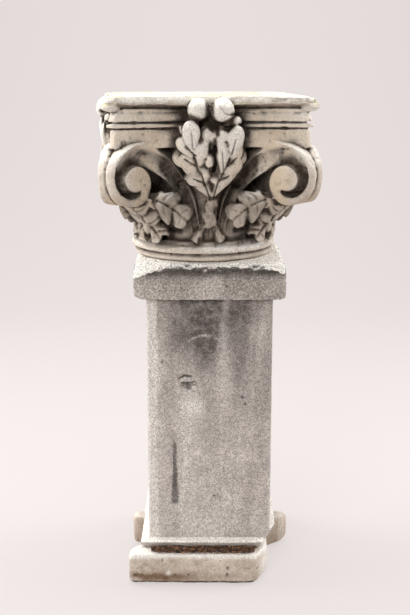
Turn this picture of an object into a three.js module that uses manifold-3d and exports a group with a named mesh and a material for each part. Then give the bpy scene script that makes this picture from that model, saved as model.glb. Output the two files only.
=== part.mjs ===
// A carved limestone corinthian capital on its square garden pillar.
// Units are millimetres, +Z is up, the front faces -Y, and the origin is on the ground under the capital's axis.
import * as THREE from 'three';
import { mergeVertices } from 'three/addons/utils/BufferGeometryUtils.js';
import Module from 'manifold-3d';

// Driving dimensions of the whole.
const TOTAL_HEIGHT = 1135;
const STONE_TOP = 80; // top of the two footing stones
const SHAFT_WIDTH = 290;
const SLAB_WIDTH = 345;
const SLAB_BOTTOM = 682;
const CAPITAL_BOTTOM = 767.5;
const JOINT = 0.3; // open bed joint between stones
const CAPITAL_TURN = 5; // degrees that the capital stands turned on its pillar
const PILLAR_SHIFT = 15.5; // how far the pillar stands to the right of the capital's axis

// The abacus: a square with hollowed sides and canted corners. Each level of its profile is the half-width at the
// outermost planes, the reach of the cant along each side, and the height.
const HOLLOW = 30; // how far the middle of each side stands back
const NECK_BOTTOM = 1023;
const ABACUS_PROFILE = [
  [217, 11, NECK_BOTTOM], [215, 11, 1063], [223, 13, 1065], [223, 13, 1073], [215, 11, 1075], [219, 12, 1077],
  [213, 11, 1106], [237, 33, 1108], [237, 33, TOTAL_HEIGHT],
];

// Bell and astragal as radius and height.
const BELL_PROFILE = [
  [0, CAPITAL_BOTTOM], [157, CAPITAL_BOTTOM], [163, 774], [158.5, 783.5], [169, 789], [169, 799],
  [156, 807], [151, 850], [156, 965], [168, NECK_BOTTOM + 10], [0, NECK_BOTTOM + 10],
];

// Corner volutes: each winds in the upright plane through the capital's diagonal.
const VOLUTE_RHO = 254; // eye's distance from the axis, along the diagonal
const VOLUTE_Z = 950;
const VOLUTE_RADIUS = 83; // at the top of the outer turn
const VOLUTE_DECAY = 0.95; // natural log of the shrinkage in one turn
const VOLUTE_TURNS = 1.1; // turns of the band before it becomes the solid eye
const VOLUTE_BAND = 15; // thickness of the wound band
const VOLUTE_HALF = 32; // half the band's breadth on the outer turn
const EYE_HALF = 43; // half the breadth across the two eyes
const WEB_HALF = 13; // half the thickness of the stone left between the two scrolls

const wasm = await Module();
wasm.setup();

/** Vector from plain coordinates. */
const at = (x, y, z) => new THREE.Vector3(x, y, z);

/** Closed surface through a row of rings with equal numbers of points, with a fan over each end. */
function loft(rings) {
  const count = rings[0].length;
  const points = rings.flat();
  const index = [];
  for (let row = 0; row + 1 < rings.length; row++) {
    for (let i = 0; i < count; i++) {
      const a = row * count + i;
      const b = row * count + (i + 1) % count;
      index.push(a, b, b + count, a, b + count, a + count);
    }
  }
  for (const [ring, offset, flip] of [[rings[0], 0, true], [rings.at(-1), (rings.length - 1) * count, false]]) {
    const centre = ring.reduce((sum, p) => sum.add(p), at(0, 0, 0)).divideScalar(count);
    const apex = points.push(centre) - 1;
    for (let i = 0; i < count; i++) {
      const pair = [offset + i, offset + (i + 1) % count];
      index.push(...(flip ? pair.reverse() : pair), apex);
    }
  }
  const geometry = new THREE.BufferGeometry().setFromPoints(points);
  geometry.setIndex(index);
  return geometry;
}

/** A solid from a closed geometry, turned right side out where its windings run the other way. */
function solid(geometry) {
  const bare = geometry.clone();
  bare.deleteAttribute('normal');
  bare.deleteAttribute('uv');
  const merged = mergeVertices(bare, 1e-3);
  const position = merged.attributes.position;
  const corner = [at(0, 0, 0), at(0, 0, 0), at(0, 0, 0)];
  const triangles = [];
  let volume = 0;
  for (let i = 0; i < merged.index.count; i += 3) {
    const face = [0, 1, 2].map((k) => merged.index.getX(i + k));
    if (new Set(face).size < 3) continue;
    face.forEach((v, k) => corner[k].fromBufferAttribute(position, v));
    volume += corner[0].dot(corner[1].cross(corner[2]));
    triangles.push(face);
  }
  if (volume < 0) triangles.forEach((face) => face.reverse());
  return new wasm.Manifold(new wasm.Mesh({
    numProp: 3,
    vertProperties: new Float32Array(position.array),
    triVerts: new Uint32Array(triangles.flat()),
  }));
}

/** One solid out of many that run into each other. */
const join = (solids) => solids.reduce((whole, next) => whole.add(next));

/** What is left of a solid below the plane through a point with the given outward direction. */
function split(body, point, outward) {
  const reach = 600;
  const block = new THREE.BoxGeometry(reach, reach, reach);
  block.translate(0, 0, reach / 2);
  block.applyQuaternion(new THREE.Quaternion().setFromUnitVectors(at(0, 0, 1), outward.clone().normalize()));
  block.translate(point.x, point.y, point.z);
  return body.subtract(solid(block));
}

/** Box between two opposite corners. */
function block(low, high) {
  const size = high.clone().sub(low);
  const centre = high.clone().add(low).multiplyScalar(0.5);
  return solid(new THREE.BoxGeometry(size.x, size.y, size.z).translate(centre.x, centre.y, centre.z));
}

/** Named mesh of a finished solid. */
function stone(name, body, color, roughness = 0.9) {
  const { vertProperties, triVerts, numProp } = body.getMesh();
  const geometry = new THREE.BufferGeometry();
  const position = new Float32Array(vertProperties.length / numProp * 3);
  for (let i = 0; i < position.length; i++) {
    position[i] = vertProperties[Math.floor(i / 3) * numProp + i % 3];
  }
  geometry.setAttribute('position', new THREE.BufferAttribute(position, 3));
  geometry.setIndex(new THREE.BufferAttribute(triVerts, 1));
  geometry.computeVertexNormals();
  const mesh = new THREE.Mesh(geometry, new THREE.MeshStandardMaterial({ color, roughness, metalness: 0 }));
  mesh.name = name;
  return mesh;
}

// ---- Abacus ----

const SIDE_STEPS = 4;

/** Plan of the abacus at one height: four hollow sides, and the cants between them. */
function abacusRing([half, cant, z]) {
  const ring = [];
  for (let side = 0; side < 4; side++) {
    for (let i = 0; i <= SIDE_STEPS; i++) {
      const s = -1 + 2 * i / SIDE_STEPS;
      const p = at(s * (half - cant), -half + HOLLOW * (1 - s * s), z);
      ring.push(p.applyAxisAngle(at(0, 0, 1), side * Math.PI / 2));
    }
  }
  return ring;
}

/** The abacus with its mouldings and plain neck. */
const abacus = () => solid(loft(ABACUS_PROFILE.map(abacusRing)));

// ---- Bell and astragal ----

const BELL_SEGMENTS = 24;

/** The round bell with the astragal at its foot. */
function bell() {
  const profile = BELL_PROFILE.map(([radius, height]) => new THREE.Vector2(radius, height));
  return solid(new THREE.LatheGeometry(profile, BELL_SEGMENTS).rotateX(Math.PI / 2));
}

// ---- Corner volutes, worked on the front left diagonal and turned to the others ----

const DIAGONAL = at(-1, -1, 0).normalize();
const ACROSS = at(1, -1, 0).normalize();

/** Point on the front left corner: rho out along the diagonal, breadth across it, and height. */
const onDiagonal = (rho, breadth, z) => DIAGONAL.clone().multiplyScalar(rho)
  .addScaledVector(ACROSS, breadth).setZ(z);

/** The spiral's radius after a number of turns, counted from its top. */
const spiral = (turns) => VOLUTE_RADIUS * Math.exp(-VOLUTE_DECAY * turns);

/** Half the breadth of the band, which comes forward as it winds in. */
const halfBreadth = (turns) => THREE.MathUtils.lerp(
  VOLUTE_HALF, EYE_HALF, THREE.MathUtils.smoothstep(turns, 0.25, 1));

/** The wound band, its two eyes, and the web of stone between the scrolls. */
function volute() {
  const rings = [];
  const steps = 11;
  for (let i = 0; i <= steps; i++) {
    const turns = -0.12 + (VOLUTE_TURNS + 0.12) * i / steps;
    const angle = Math.PI / 2 - turns * 2 * Math.PI;
    const outer = spiral(turns);
    const half = halfBreadth(turns);
    const rim = (radius, breadth) => onDiagonal(
      VOLUTE_RHO + radius * Math.cos(angle), breadth, VOLUTE_Z + radius * Math.sin(angle));
    rings.push([rim(outer, -half), rim(outer, half), rim(outer - VOLUTE_BAND, half), rim(outer - VOLUTE_BAND, -half)]);
  }
  const eye = (radius, half, sides) => {
    const drum = new THREE.CylinderGeometry(radius, radius, 2 * half, sides);
    drum.applyQuaternion(new THREE.Quaternion().setFromUnitVectors(at(0, 1, 0), ACROSS));
    const centre = onDiagonal(VOLUTE_RHO, 0, VOLUTE_Z);
    return solid(drum.translate(centre.x, centre.y, centre.z));
  };
  const web = [];
  for (let i = 0; i <= 6; i++) {
    const turns = i / 6;
    const angle = Math.PI / 2 - turns * 2 * Math.PI;
    const radius = spiral(turns) - VOLUTE_BAND / 2;
    web.push([VOLUTE_RHO + radius * Math.cos(angle), VOLUTE_Z + radius * Math.sin(angle)]);
  }
  web.push([VOLUTE_RHO - 100, VOLUTE_Z - 40], [VOLUTE_RHO - 100, NECK_BOTTOM]);
  const plate = [-WEB_HALF, WEB_HALF].map((breadth) => web.map(([rho, z]) => onDiagonal(rho, breadth, z)));
  return join([solid(loft(rings)), eye(spiral(1.05), EYE_HALF, 10), solid(loft(plate))]);
}

// ---- Stalks that rise across the bell and run into the volutes ----

// The stalk's outer and inner rims, foot first, on the left of the front face.
const STALK_OUTER = [
  at(-19, -152, 845), at(-24, -154, 884), at(-57, -163, 955), at(-97, -178, 1009), at(-152, -200, 1031),
];
const STALK_INNER = [
  at(-42, -150, 840), at(-60, -156, 895), at(-87, -168, 937), at(-112, -180, 960), at(-140, -186, 975),
];
const STALK_STEPS = 5;
const STALK_TROUGH = 16;
const STALK_BACK = 40;

/** One stalk: a hollow channel between two rims, its back sunk in the bell. */
function stalk() {
  const outer = new THREE.CatmullRomCurve3(STALK_OUTER);
  const inner = new THREE.CatmullRomCurve3(STALK_INNER);
  const rings = [];
  for (let i = 0; i <= STALK_STEPS; i++) {
    const u = i / STALK_STEPS;
    const a = outer.getPoint(u);
    const b = inner.getPoint(u);
    const back = at(-a.x - b.x, -a.y - b.y, 0).setZ(0).normalize();
    const between = (share, depth) => a.clone().lerp(b, share).addScaledVector(back, depth);
    rings.push([
      between(0, 0), between(0.14, 0), between(0.45, STALK_TROUGH), between(0.88, 0),
      between(1, STALK_BACK), between(0, STALK_BACK),
    ]);
  }
  return solid(loft(rings));
}

// ---- Oak leaves ----

/**
 * A lobed leaf along a midrib: a blade bowed out to both sides of a sunk rib, its edge waved into round lobes.
 * Facing is the way its upper side looks at the foot and at the tip.
 */
function leaf({ rib, facing, half, lobes, thickness = 16, bow = 7, stations = 6 }) {
  const curve = new THREE.CatmullRomCurve3(rib);
  const rings = [];
  for (let i = 0; i <= stations; i++) {
    const u = i / stations;
    const along = curve.getTangent(u);
    const normal = facing[0].clone().lerp(facing[1], u).normalize();
    const side = along.clone().cross(normal).normalize();
    normal.crossVectors(side, along).normalize();
    const body = Math.pow(Math.sin(Math.PI * (0.06 + 0.86 * u)), 0.6);
    const wave = 1 - 0.3 * (0.5 + 0.5 * Math.cos(2 * Math.PI * lobes * u));
    const width = half * body * wave;
    const centre = curve.getPoint(u);
    const place = (share, lift) => centre.clone().addScaledVector(side, share * width).addScaledVector(normal, lift);
    rings.push([
      place(-1, -bow * 0.4), place(-0.45, bow), place(0.45, bow), place(1, -bow * 0.4), place(0, -thickness),
    ]);
  }
  return solid(loft(rings));
}

/** A round limb through a row of points, with its radius at each end. */
function limb(points, [from, to], steps = 2, sides = 4) {
  const curve = new THREE.CatmullRomCurve3(points);
  const frames = curve.computeFrenetFrames(steps);
  const rings = [];
  for (let i = 0; i <= steps; i++) {
    const radius = THREE.MathUtils.lerp(from, to, i / steps);
    const centre = curve.getPointAt(i / steps);
    rings.push(Array.from({ length: sides }, (_, k) => {
      const angle = k / sides * 2 * Math.PI;
      return centre.clone().addScaledVector(frames.normals[i], radius * Math.cos(angle))
        .addScaledVector(frames.binormals[i], radius * Math.sin(angle));
    }));
  }
  return solid(loft(rings));
}

/** A ball or egg. */
function ball(centre, radius, stretch = 1, sides = 6) {
  const sphere = new THREE.SphereGeometry(radius, sides, sides - 2).rotateX(Math.PI / 2).scale(1, 1, stretch);
  return solid(sphere.translate(centre.x, centre.y, centre.z));
}

/** The leaf that stands on the astragal under each volute, on the diagonal. */
function cornerLeaf() {
  return leaf({
    rib: [onDiagonal(160, 0, 806), onDiagonal(178, 0, 840), onDiagonal(208, 0, 875), onDiagonal(236, 0, 900)],
    facing: [DIAGONAL.clone().setZ(0.1), DIAGONAL.clone().setZ(-0.6)],
    half: 62, lobes: 3, thickness: 30, stations: 6,
  });
}

/** The leaf that curls from under each volute along the bell towards the middle of the face. */
function sideLeaf() {
  return leaf({
    rib: [at(-152, -178, 903), at(-112, -180, 896), at(-76, -174, 880), at(-46, -162, 862)],
    facing: [at(-0.3, -1, 0.3), at(0.1, -1, 0.1)],
    half: 33, lobes: 3, thickness: 26, stations: 6,
  });
}

// ---- The oak branch in the middle of each face ----

const FORK = at(-9, -178, 905);
const FRUIT_RADIUS = 25;

/** The forked branch, its upright leaves, and the two round fruits over the abacus. */
function branch() {
  const front = at(0, -1, 0);
  return join([
    limb([at(-13, -146, 850), at(-14, -166, 880), FORK], [15, 11]),
    limb([at(-14, -160, 872), at(-34, -156, 842), at(-58, -150, 812)], [10, 11]),
    limb([at(-12, -160, 872), at(4, -156, 842), at(24, -150, 812)], [10, 11]),
    leaf({
      rib: [at(-12, -178, 900), at(-20, -190, 935), at(-36, -206, 985), at(-50, -220, 1030), at(-46, -232, 1084)],
      facing: [front, at(-0.1, -1, 0.5)], half: 40, lobes: 3, thickness: 30, stations: 8,
    }),
    leaf({
      rib: [at(-6, -178, 900), at(8, -190, 935), at(24, -206, 985), at(42, -220, 1030), at(46, -232, 1088)],
      facing: [front, at(0.1, -1, 0.5)], half: 40, lobes: 3, thickness: 30, stations: 8,
    }),
    ball(at(-3, -204, 1050), 20, 1.3),
    ball(at(-3, -196, 995), 12, 1.5),
    ball(at(-29, -218, 1103), FRUIT_RADIUS),
    ball(at(21, -220, 1104), FRUIT_RADIUS + 2),
    ball(at(54, -216, 1078), 12),
    limb([at(-4, -176, 1000), at(-4, -178, 1100)], [34, 38], 1, 4),
  ]);
}

// ---- The capital: one carved block ----

/** The same carving on all four sides. */
function fourfold(geometryOf) {
  const one = geometryOf();
  return [0, 1, 2, 3].map((side) => one.rotate([0, 0, 90 * side]));
}

/** Carving of one side, and its mirror image across the middle of the face. */
function bothHands(body) {
  return [body, body.mirror([1, 0, 0])];
}

const capital = join([
  abacus(),
  bell(),
  ...fourfold(volute),
  ...fourfold(cornerLeaf),
  ...bothHands(stalk()).flatMap((one) => fourfold(() => one)),
  ...bothHands(sideLeaf()).flatMap((one) => fourfold(() => one)),
  ...fourfold(branch),
]);

// ---- Cap slab of the pillar, its top corners worn to slopes and one lower corner chipped ----

const SLAB_TOP = CAPITAL_BOTTOM - JOINT;
const SLAB_WORN = 11; // height and breadth worn off the upper edges

function capSlab() {
  const half = SLAB_WIDTH / 2;
  const square = (reach, z) => [[-1, -1], [1, -1], [1, 1], [-1, 1]].map(([x, y]) => at(x * reach, y * reach, z));
  let slab = solid(loft([
    square(half, SLAB_BOTTOM + JOINT), square(half, SLAB_TOP - SLAB_WORN), square(half - SLAB_WORN, SLAB_TOP),
  ]));
  for (const [sx, sy, wear] of [[-1, -1, 60], [1, -1, 36], [1, 1, 45], [-1, 1, 40]]) {
    slab = split(slab, at(sx * (half - wear), sy * half, SLAB_TOP - SLAB_WORN), at(sx * 0.36, sy * 0.3, 1));
  }
  return split(slab, at(-half + 22, -half, SLAB_BOTTOM), at(-1, -0.6, -0.8));
}

// ---- Shaft with a narrow fillet at its foot, its lower front right corner broken off ----

const FILLET_TOP = 95.5;
const FILLET_REACH = 19;

function shaft() {
  const half = SHAFT_WIDTH / 2;
  const foot = half + FILLET_REACH;
  const whole = join([
    block(at(-half, -half, STONE_TOP + JOINT), at(half, half, SLAB_BOTTOM)),
    block(at(-foot, -foot, STONE_TOP + JOINT), at(foot, foot, FILLET_TOP)),
  ]);
  return split(whole, at(118, -foot, STONE_TOP), at(1, -0.35, -0.72));
}

// ---- The two footing stones, each an upright extrusion of its broken plan ----

/** A low slab of the given plan, its upper edge taken off by a small bevel. */
function footing(plan) {
  const outline = new THREE.Shape(plan.map(([x, y]) => new THREE.Vector2(x, y)));
  const bevel = 5;
  const below = solid(new THREE.ExtrudeGeometry(outline, { depth: STONE_TOP - bevel, bevelEnabled: false }));
  const above = new THREE.ExtrudeGeometry(outline, {
    depth: 0.5, bevelEnabled: true, bevelSegments: 1, bevelSize: bevel, bevelOffset: -bevel,
    bevelThickness: bevel - 0.5,
  }).translate(0, 0, STONE_TOP - bevel);
  return below.add(solid(above));
}

const FRONT_PLAN = [
  [-192, -198], [111, -199], [125, -172], [141, -138], [143, -14], [-147, -14], [-149, -120], [-192, -158],
];
const REAR_PLAN = [
  [-195, 14], [123, -8], [147, -10], [191, 24], [203, 48], [150, 70], [140, 196], [-87, 204], [-140, 190],
  [-150, 72], [-199, 52],
];

const CAPITAL_COLOR = 0xc9bdab;
const PILLAR_COLOR = 0xa9a49c;
const FOOTING_COLOR = 0xb8aea2;

const carved = stone('capital', capital, CAPITAL_COLOR);
carved.rotation.z = THREE.MathUtils.degToRad(CAPITAL_TURN);

const pillar = new THREE.Group();
pillar.position.x = PILLAR_SHIFT;
pillar.add(
  stone('cap_slab', capSlab(), PILLAR_COLOR),
  stone('shaft', shaft(), PILLAR_COLOR),
  stone('front_footing_stone', footing(FRONT_PLAN), FOOTING_COLOR),
  stone('rear_footing_stone', footing(REAR_PLAN), FOOTING_COLOR),
);

const part = new THREE.Group();
part.add(carved, pillar);

export default part;
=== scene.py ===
"""A weathered corinthian capital carved with oak, standing a little turned on its square stone pillar.

Metres, +Z up, the front faces -Y. Each stone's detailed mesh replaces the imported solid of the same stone."""

import math

import bmesh
import bpy
import numpy as np
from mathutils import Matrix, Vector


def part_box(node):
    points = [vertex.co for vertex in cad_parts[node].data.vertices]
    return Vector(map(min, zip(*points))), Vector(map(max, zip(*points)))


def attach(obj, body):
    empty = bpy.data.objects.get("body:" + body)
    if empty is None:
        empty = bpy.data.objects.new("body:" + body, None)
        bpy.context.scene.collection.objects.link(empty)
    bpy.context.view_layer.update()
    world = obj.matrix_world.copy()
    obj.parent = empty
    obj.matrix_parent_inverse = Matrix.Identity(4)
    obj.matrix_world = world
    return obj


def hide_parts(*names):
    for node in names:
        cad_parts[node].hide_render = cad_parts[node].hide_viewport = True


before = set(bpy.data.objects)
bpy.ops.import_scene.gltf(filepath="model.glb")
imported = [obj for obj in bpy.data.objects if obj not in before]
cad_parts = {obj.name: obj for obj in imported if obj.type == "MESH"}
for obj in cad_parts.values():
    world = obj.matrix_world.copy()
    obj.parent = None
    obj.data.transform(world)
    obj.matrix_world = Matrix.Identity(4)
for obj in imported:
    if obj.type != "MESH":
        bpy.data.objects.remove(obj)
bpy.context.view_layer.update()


# ---- The studio ----
# A sweep of pale paper that runs from the floor up into the wall without a corner, large soft boxes above, in
# front and to both sides, and the camera that looks down at the stone a little.

SWEEP_COLOR = (0.16, 0.1485, 0.146, 1)
SWEEP_GLOW = 3.75  # how much of its own colour the paper gives back evenly, as paper lit from all round does
SWEEP_HALF_WIDTH = 6.0
SWEEP_FRONT = -5.0
SWEEP_BACK = 2.6
SWEEP_BEND = 2.0
SWEEP_TOP = 5.0
# Soft boxes: name, place, what they look at, side and power.
SOFT_BOXES = (
    ("backdrop", (0, 1.3, 3.6), (0, 4.6, 1.0), 1.5, 70),
    ("overhead", (-0.25, 0.10, 3.2), (0, 0, 0.6), 1.8, 66),
    ("left side", (-2.5, 0.5, 1.9), (0, 0, 0.7), 1.5, 80),
    ("right side", (2.5, 0.5, 1.8), (0, 0, 0.7), 1.5, 72),
    ("front", (-1.5, -3.8, 2.2), (0, 0, 0.6), 1.8, 100),
)
AIR_COLOR = (1.0, 0.965, 0.955, 1)
AIR_GLOW = 0.16
CAMERA_PLACE = (0.005, -2.416, 1.185)
CAMERA_DOWN = math.radians(13)
CAMERA_LENS = 60.2
CAMERA_SENSOR = 36


def mesh_object(name, points, faces):
    """Object of one smooth mesh, from an array of points and an array of faces with equally many corners."""
    mesh = bpy.data.meshes.new(name)
    count, corners = np.shape(faces)
    mesh.vertices.add(len(points))
    mesh.vertices.foreach_set("co", np.asarray(points, np.float32).ravel())
    mesh.loops.add(count * corners)
    mesh.loops.foreach_set("vertex_index", np.asarray(faces, np.int32).ravel())
    mesh.polygons.add(count)
    mesh.polygons.foreach_set("loop_start", np.arange(0, count * corners, corners, dtype=np.int32))
    mesh.polygons.foreach_set("use_smooth", np.ones(count, bool))
    mesh.update(calc_edges=True)
    made = bpy.data.objects.new(name, mesh)
    bpy.context.scene.collection.objects.link(made)
    return made


def sweep_profile():
    """The sweep from the side, as depth and height: the flat floor, a quarter circle and the upright wall."""
    angle = np.linspace(-math.pi / 2, 0, 24)
    bend = np.stack([SWEEP_BACK + SWEEP_BEND * np.cos(angle), SWEEP_BEND * (1 + np.sin(angle))], axis=1)
    return np.concatenate([[[SWEEP_FRONT, 0.0]], bend, [[SWEEP_BACK + SWEEP_BEND, SWEEP_TOP]]])


line = sweep_profile()
rows = np.arange(len(line) - 1)
sweep = mesh_object(
    "studio_sweep",
    np.concatenate([np.insert(line, 0, side, axis=1) for side in (-SWEEP_HALF_WIDTH, SWEEP_HALF_WIDTH)]),
    np.stack([rows, rows + len(line), rows + len(line) + 1, rows + 1], axis=1),
)
paper = bpy.data.materials.new("sweep paper")
paper.use_nodes = True
paper_shader = paper.node_tree.nodes["Principled BSDF"]
paper_shader.inputs["Base Color"].default_value = SWEEP_COLOR
paper_shader.inputs["Roughness"].default_value = 0.95
paper_shader.inputs["Specular IOR Level"].default_value = 0.1
paper_shader.inputs["Emission Color"].default_value = SWEEP_COLOR
paper_shader.inputs["Emission Strength"].default_value = SWEEP_GLOW
sweep.data.materials.append(paper)


def soft_box(name, place, aim, size, power):
    """Square area light at a place, turned to look at its aim."""
    light = bpy.data.lights.new(name, "AREA")
    light.size = size
    light.energy = power
    lamp = bpy.data.objects.new(name, light)
    lamp.location = place
    x, y, z = np.subtract(aim, place)
    lamp.rotation_euler = (math.atan2(math.hypot(x, y), -z), 0, math.atan2(-x, y))
    bpy.context.scene.collection.objects.link(lamp)


for box in SOFT_BOXES:
    soft_box(*box)

air = bpy.data.worlds.new("studio air")
air.use_nodes = True
air.node_tree.nodes["Background"].inputs["Color"].default_value = AIR_COLOR
air.node_tree.nodes["Background"].inputs["Strength"].default_value = AIR_GLOW
bpy.context.scene.world = air
bpy.context.scene.view_settings.view_transform = "Standard"

lens = bpy.data.cameras.new("camera")
lens.lens = CAMERA_LENS
lens.sensor_width = CAMERA_SENSOR
camera = bpy.data.objects.new("camera", lens)
camera.location = CAMERA_PLACE
camera.rotation_euler = (math.pi / 2 - CAMERA_DOWN, 0, 0)
bpy.context.scene.collection.objects.link(camera)
bpy.context.scene.camera = camera


# ---- The two footing stones ----
# Broken slabs of pale sandstone that lie loose on the ground, one in front of the other, and carry the
# pillar. Their top edges are worn round, and rust, soil and lime have stained them.

FRONT_LOW, FRONT_HIGH = np.array(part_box("front_footing_stone"))
REAR_LOW = np.array(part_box("rear_footing_stone")[0])
# Plans, measured from the low corner of each stone's box.
FRONT_PLAN = (
    (0, 0.001), (0.303, 0), (0.317, 0.027), (0.333, 0.061),
    (0.335, 0.185), (0.045, 0.185), (0.043, 0.079), (0, 0.041),
)
REAR_PLAN = (
    (0.004, 0.024), (0.322, 0.002), (0.346, 0), (0.390, 0.034), (0.402, 0.058), (0.349, 0.080),
    (0.339, 0.206), (0.112, 0.214), (0.059, 0.200), (0.049, 0.082), (0, 0.062),
)
FOOTING_TOP = FRONT_HIGH[2]
# Levels of both stones: height, and how far the plan is drawn in there.
FOOTING_LEVELS = (
    (0, 0.010), (0.006, 0.003), (0.012, 0), (FOOTING_TOP - 0.014, 0),
    (FOOTING_TOP - 0.006, 0.002), (FOOTING_TOP - 0.002, 0.006), (FOOTING_TOP, 0.013),
)
# Two small holes, painted as dark spots of shade, and a white spot on the front stone's face, by across and
# height.
FRONT_HOLES = ((0.058, 0.044), (0.057, 0.027))
LIME_SPOT = (-0.081, 0.030)
FOOTING_PALE = (0.70, 0.61, 0.52, 1)
FOOTING_BODY = (0.42, 0.335, 0.255, 1)
FOOTING_DARK = (0.065, 0.040, 0.026, 1)
FOOTING_STAIN = (0.17, 0.095, 0.050, 1)
SOFTENING = 2  # rounds of smoothing after a remesh
MOST_TRIANGLES = 195000
# The pale colour of the dusting mark, which also paints top light.
DUST_AND_LIGHT_COLOR = (0.86, 0.82, 0.76, 1)


def shell(rings):
    """Closed skin over rings[row, point, xyz]: neighbouring rings are bridged, and each end is closed by a
    fan round the middle of its ring. Returns points and triangles."""
    rows, count, _ = rings.shape
    grid = np.arange(rows * count).reshape(rows, count)
    here, above = grid[:-1], grid[1:]
    here_next, above_next = np.roll(here, -1, axis=1), np.roll(above, -1, axis=1)
    foot, tip = rows * count, rows * count + 1
    first, last = grid[0], grid[-1]
    triangles = np.concatenate([
        np.stack([here, here_next, above_next], axis=-1).reshape(-1, 3),
        np.stack([here, above_next, above], axis=-1).reshape(-1, 3),
        np.stack([np.roll(first, -1), first, np.full(count, foot)], axis=-1),
        np.stack([last, np.roll(last, -1), np.full(count, tip)], axis=-1),
    ])
    return np.concatenate([rings.reshape(-1, 3), rings[[0, -1]].mean(axis=1)]), triangles


def slab(plan, levels):
    """Upright block over a plan. Each level is a height and how far the plan is drawn in to its middle."""
    plan = np.asarray(plan, float)
    reach = plan - plan.mean(axis=0)
    length = np.linalg.norm(reach, axis=1, keepdims=True)
    return shell(np.array([
        np.column_stack([plan - reach / length * inset, np.full(len(plan), height)])
        for height, inset in levels
    ]))


def broken(skin, point, normal):
    """A skin with all that lies beyond a plane broken off, and the break closed by a flat face."""
    points, triangles = skin
    work = bmesh.new()
    corners = [work.verts.new(place) for place in points]
    for triangle in triangles:
        work.faces.new([corners[index] for index in triangle])
    parts = [*work.verts, *work.edges, *work.faces]
    bmesh.ops.bisect_plane(work, geom=parts, plane_co=point, plane_no=normal, clear_outer=True)
    bmesh.ops.holes_fill(work, edges=work.edges)
    bmesh.ops.triangulate(work, faces=work.faces)
    work.verts.index_update()
    points = np.array([corner.co for corner in work.verts])
    triangles = np.array([[corner.index for corner in face.verts] for face in work.faces])
    work.free()
    return points, triangles


def ease(value, low, high):
    """Smooth step from 0 at low to 1 at high: 3t squared minus 2t cubed."""
    t = np.clip((value - low) / (high - low), 0, 1)
    return t * t * (3 - 2 * t)


def near(value, middle, width):
    """Bell curve: 1 at the middle, falling off over the width."""
    return np.exp(-(((value - middle) / width) ** 2))


def noise(points, size, seed, octaves=3):
    """Value noise from 0 to 1 in lumps of a size: a number on each corner of a cubic lattice, blended
    smoothly inside the cells. Each further octave has half the size and half the weight. A corner's number
    comes from its place, the seed and the octave, whose bits are scattered by products with large odd
    numbers."""
    total = np.zeros(len(points))
    for octave in range(octaves):
        place = points / size * 2**octave + 31.7 * seed
        cell = np.floor(place).astype(np.int64)
        share = place - cell
        share = share * share * (3 - 2 * share)
        for corner in np.ndindex(2, 2, 2):
            x, y, z = (cell + corner).T
            bits = x * 73856093 ^ y * 19349663 ^ z * 83492791 ^ (seed * 101 + octave) * 2654435761
            bits = (bits ^ (bits >> 15)) * 2246822519 & 0xFFFFFFFF
            bits = (bits ^ (bits >> 13)) * 3266489917 & 0xFFFFFFFF
            weight = np.prod(np.where(corner, share, 1 - share), axis=1)
            total += weight * ((bits >> 16 & 0xFFFF) / 65535) / 2**octave
    return total / (2 - 2 / 2**octaves)


def relaxed(values, edges, rounds):
    """Values at the points of a mesh after rounds of smoothing. In each, every value moves six tenths of the
    way to the mean of its neighbours' values."""
    count = len(values)
    ends = edges.T.ravel()
    others = edges[:, ::-1].T.ravel()
    degree = np.bincount(ends, minlength=count)[:, None]
    for _ in range(rounds):
        sums = np.stack([np.bincount(ends, column[others], count) for column in values.T], axis=1)
        values = values + 0.6 * (sums / degree - values)
    return values


def normals_of(mesh):
    """The mesh's vertex normals as an array."""
    normals = np.empty(len(mesh.vertices) * 3, np.float32)
    mesh.vertex_normals.foreach_get("vector", normals)
    return normals.reshape(-1, 3).astype(float)


def joined(skins):
    """Several skins as one array of points and one of triangles."""
    starts = np.cumsum([0] + [len(points) for points, _ in skins[:-1]])
    triangles = [triangles + start for (_, triangles), start in zip(skins, starts)]
    return np.concatenate([points for points, _ in skins]), np.concatenate(triangles)


def move_points(mesh, points):
    """Puts a mesh's points in new places."""
    mesh.vertices.foreach_set("co", points.astype(np.float32).ravel())
    mesh.update()


def applied(piece):
    """The mesh of a piece with its modifiers applied."""
    return bpy.data.meshes.new_from_object(piece.evaluated_get(bpy.context.evaluated_depsgraph_get()))


def weathered(name, solid, skins, voxel, wear, marks):
    """One stone's finished mesh. The skins are fused by a voxel remesh and smoothed. Wear moves the points,
    inside the box of the solid, and marks gives each point's masks, kept as attributes. Flat stretches are
    then thinned until few enough triangles are left."""
    rough = mesh_object("rough " + name, *joined(skins))
    fuse = rough.modifiers.new("fuse", "REMESH")
    fuse.mode = "VOXEL"
    fuse.voxel_size = voxel
    fuse.use_smooth_shade = True
    mesh = applied(rough)
    bpy.data.objects.remove(rough)

    points = np.empty(len(mesh.vertices) * 3, np.float32)
    mesh.vertices.foreach_get("co", points)
    edges = np.empty(len(mesh.edges) * 2, np.int32)
    mesh.edges.foreach_get("vertices", edges)
    edges = edges.reshape(-1, 2)
    points = relaxed(points.reshape(-1, 3).astype(float), edges, SOFTENING)
    move_points(mesh, points)
    points = wear(points, normals_of(mesh), edges)
    low, high = (np.array(corner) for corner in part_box(solid))
    points = np.clip(points, low, high)
    move_points(mesh, points)
    for mask, values in marks(points, normals_of(mesh), edges).items():
        kept = mesh.attributes.new(mask, "FLOAT", "POINT").data
        kept.foreach_set("value", np.clip(values, 0, 1).astype(np.float32))

    piece = bpy.data.objects.new(name, mesh)
    bpy.context.scene.collection.objects.link(piece)
    triangles = 2 * len(mesh.polygons)
    if triangles > MOST_TRIANGLES:
        thin = piece.modifiers.new("thin", "DECIMATE")
        thin.ratio = MOST_TRIANGLES / triangles
        thinned = applied(piece)
        piece.modifiers.clear()
        piece.data = thinned
    return piece


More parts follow.
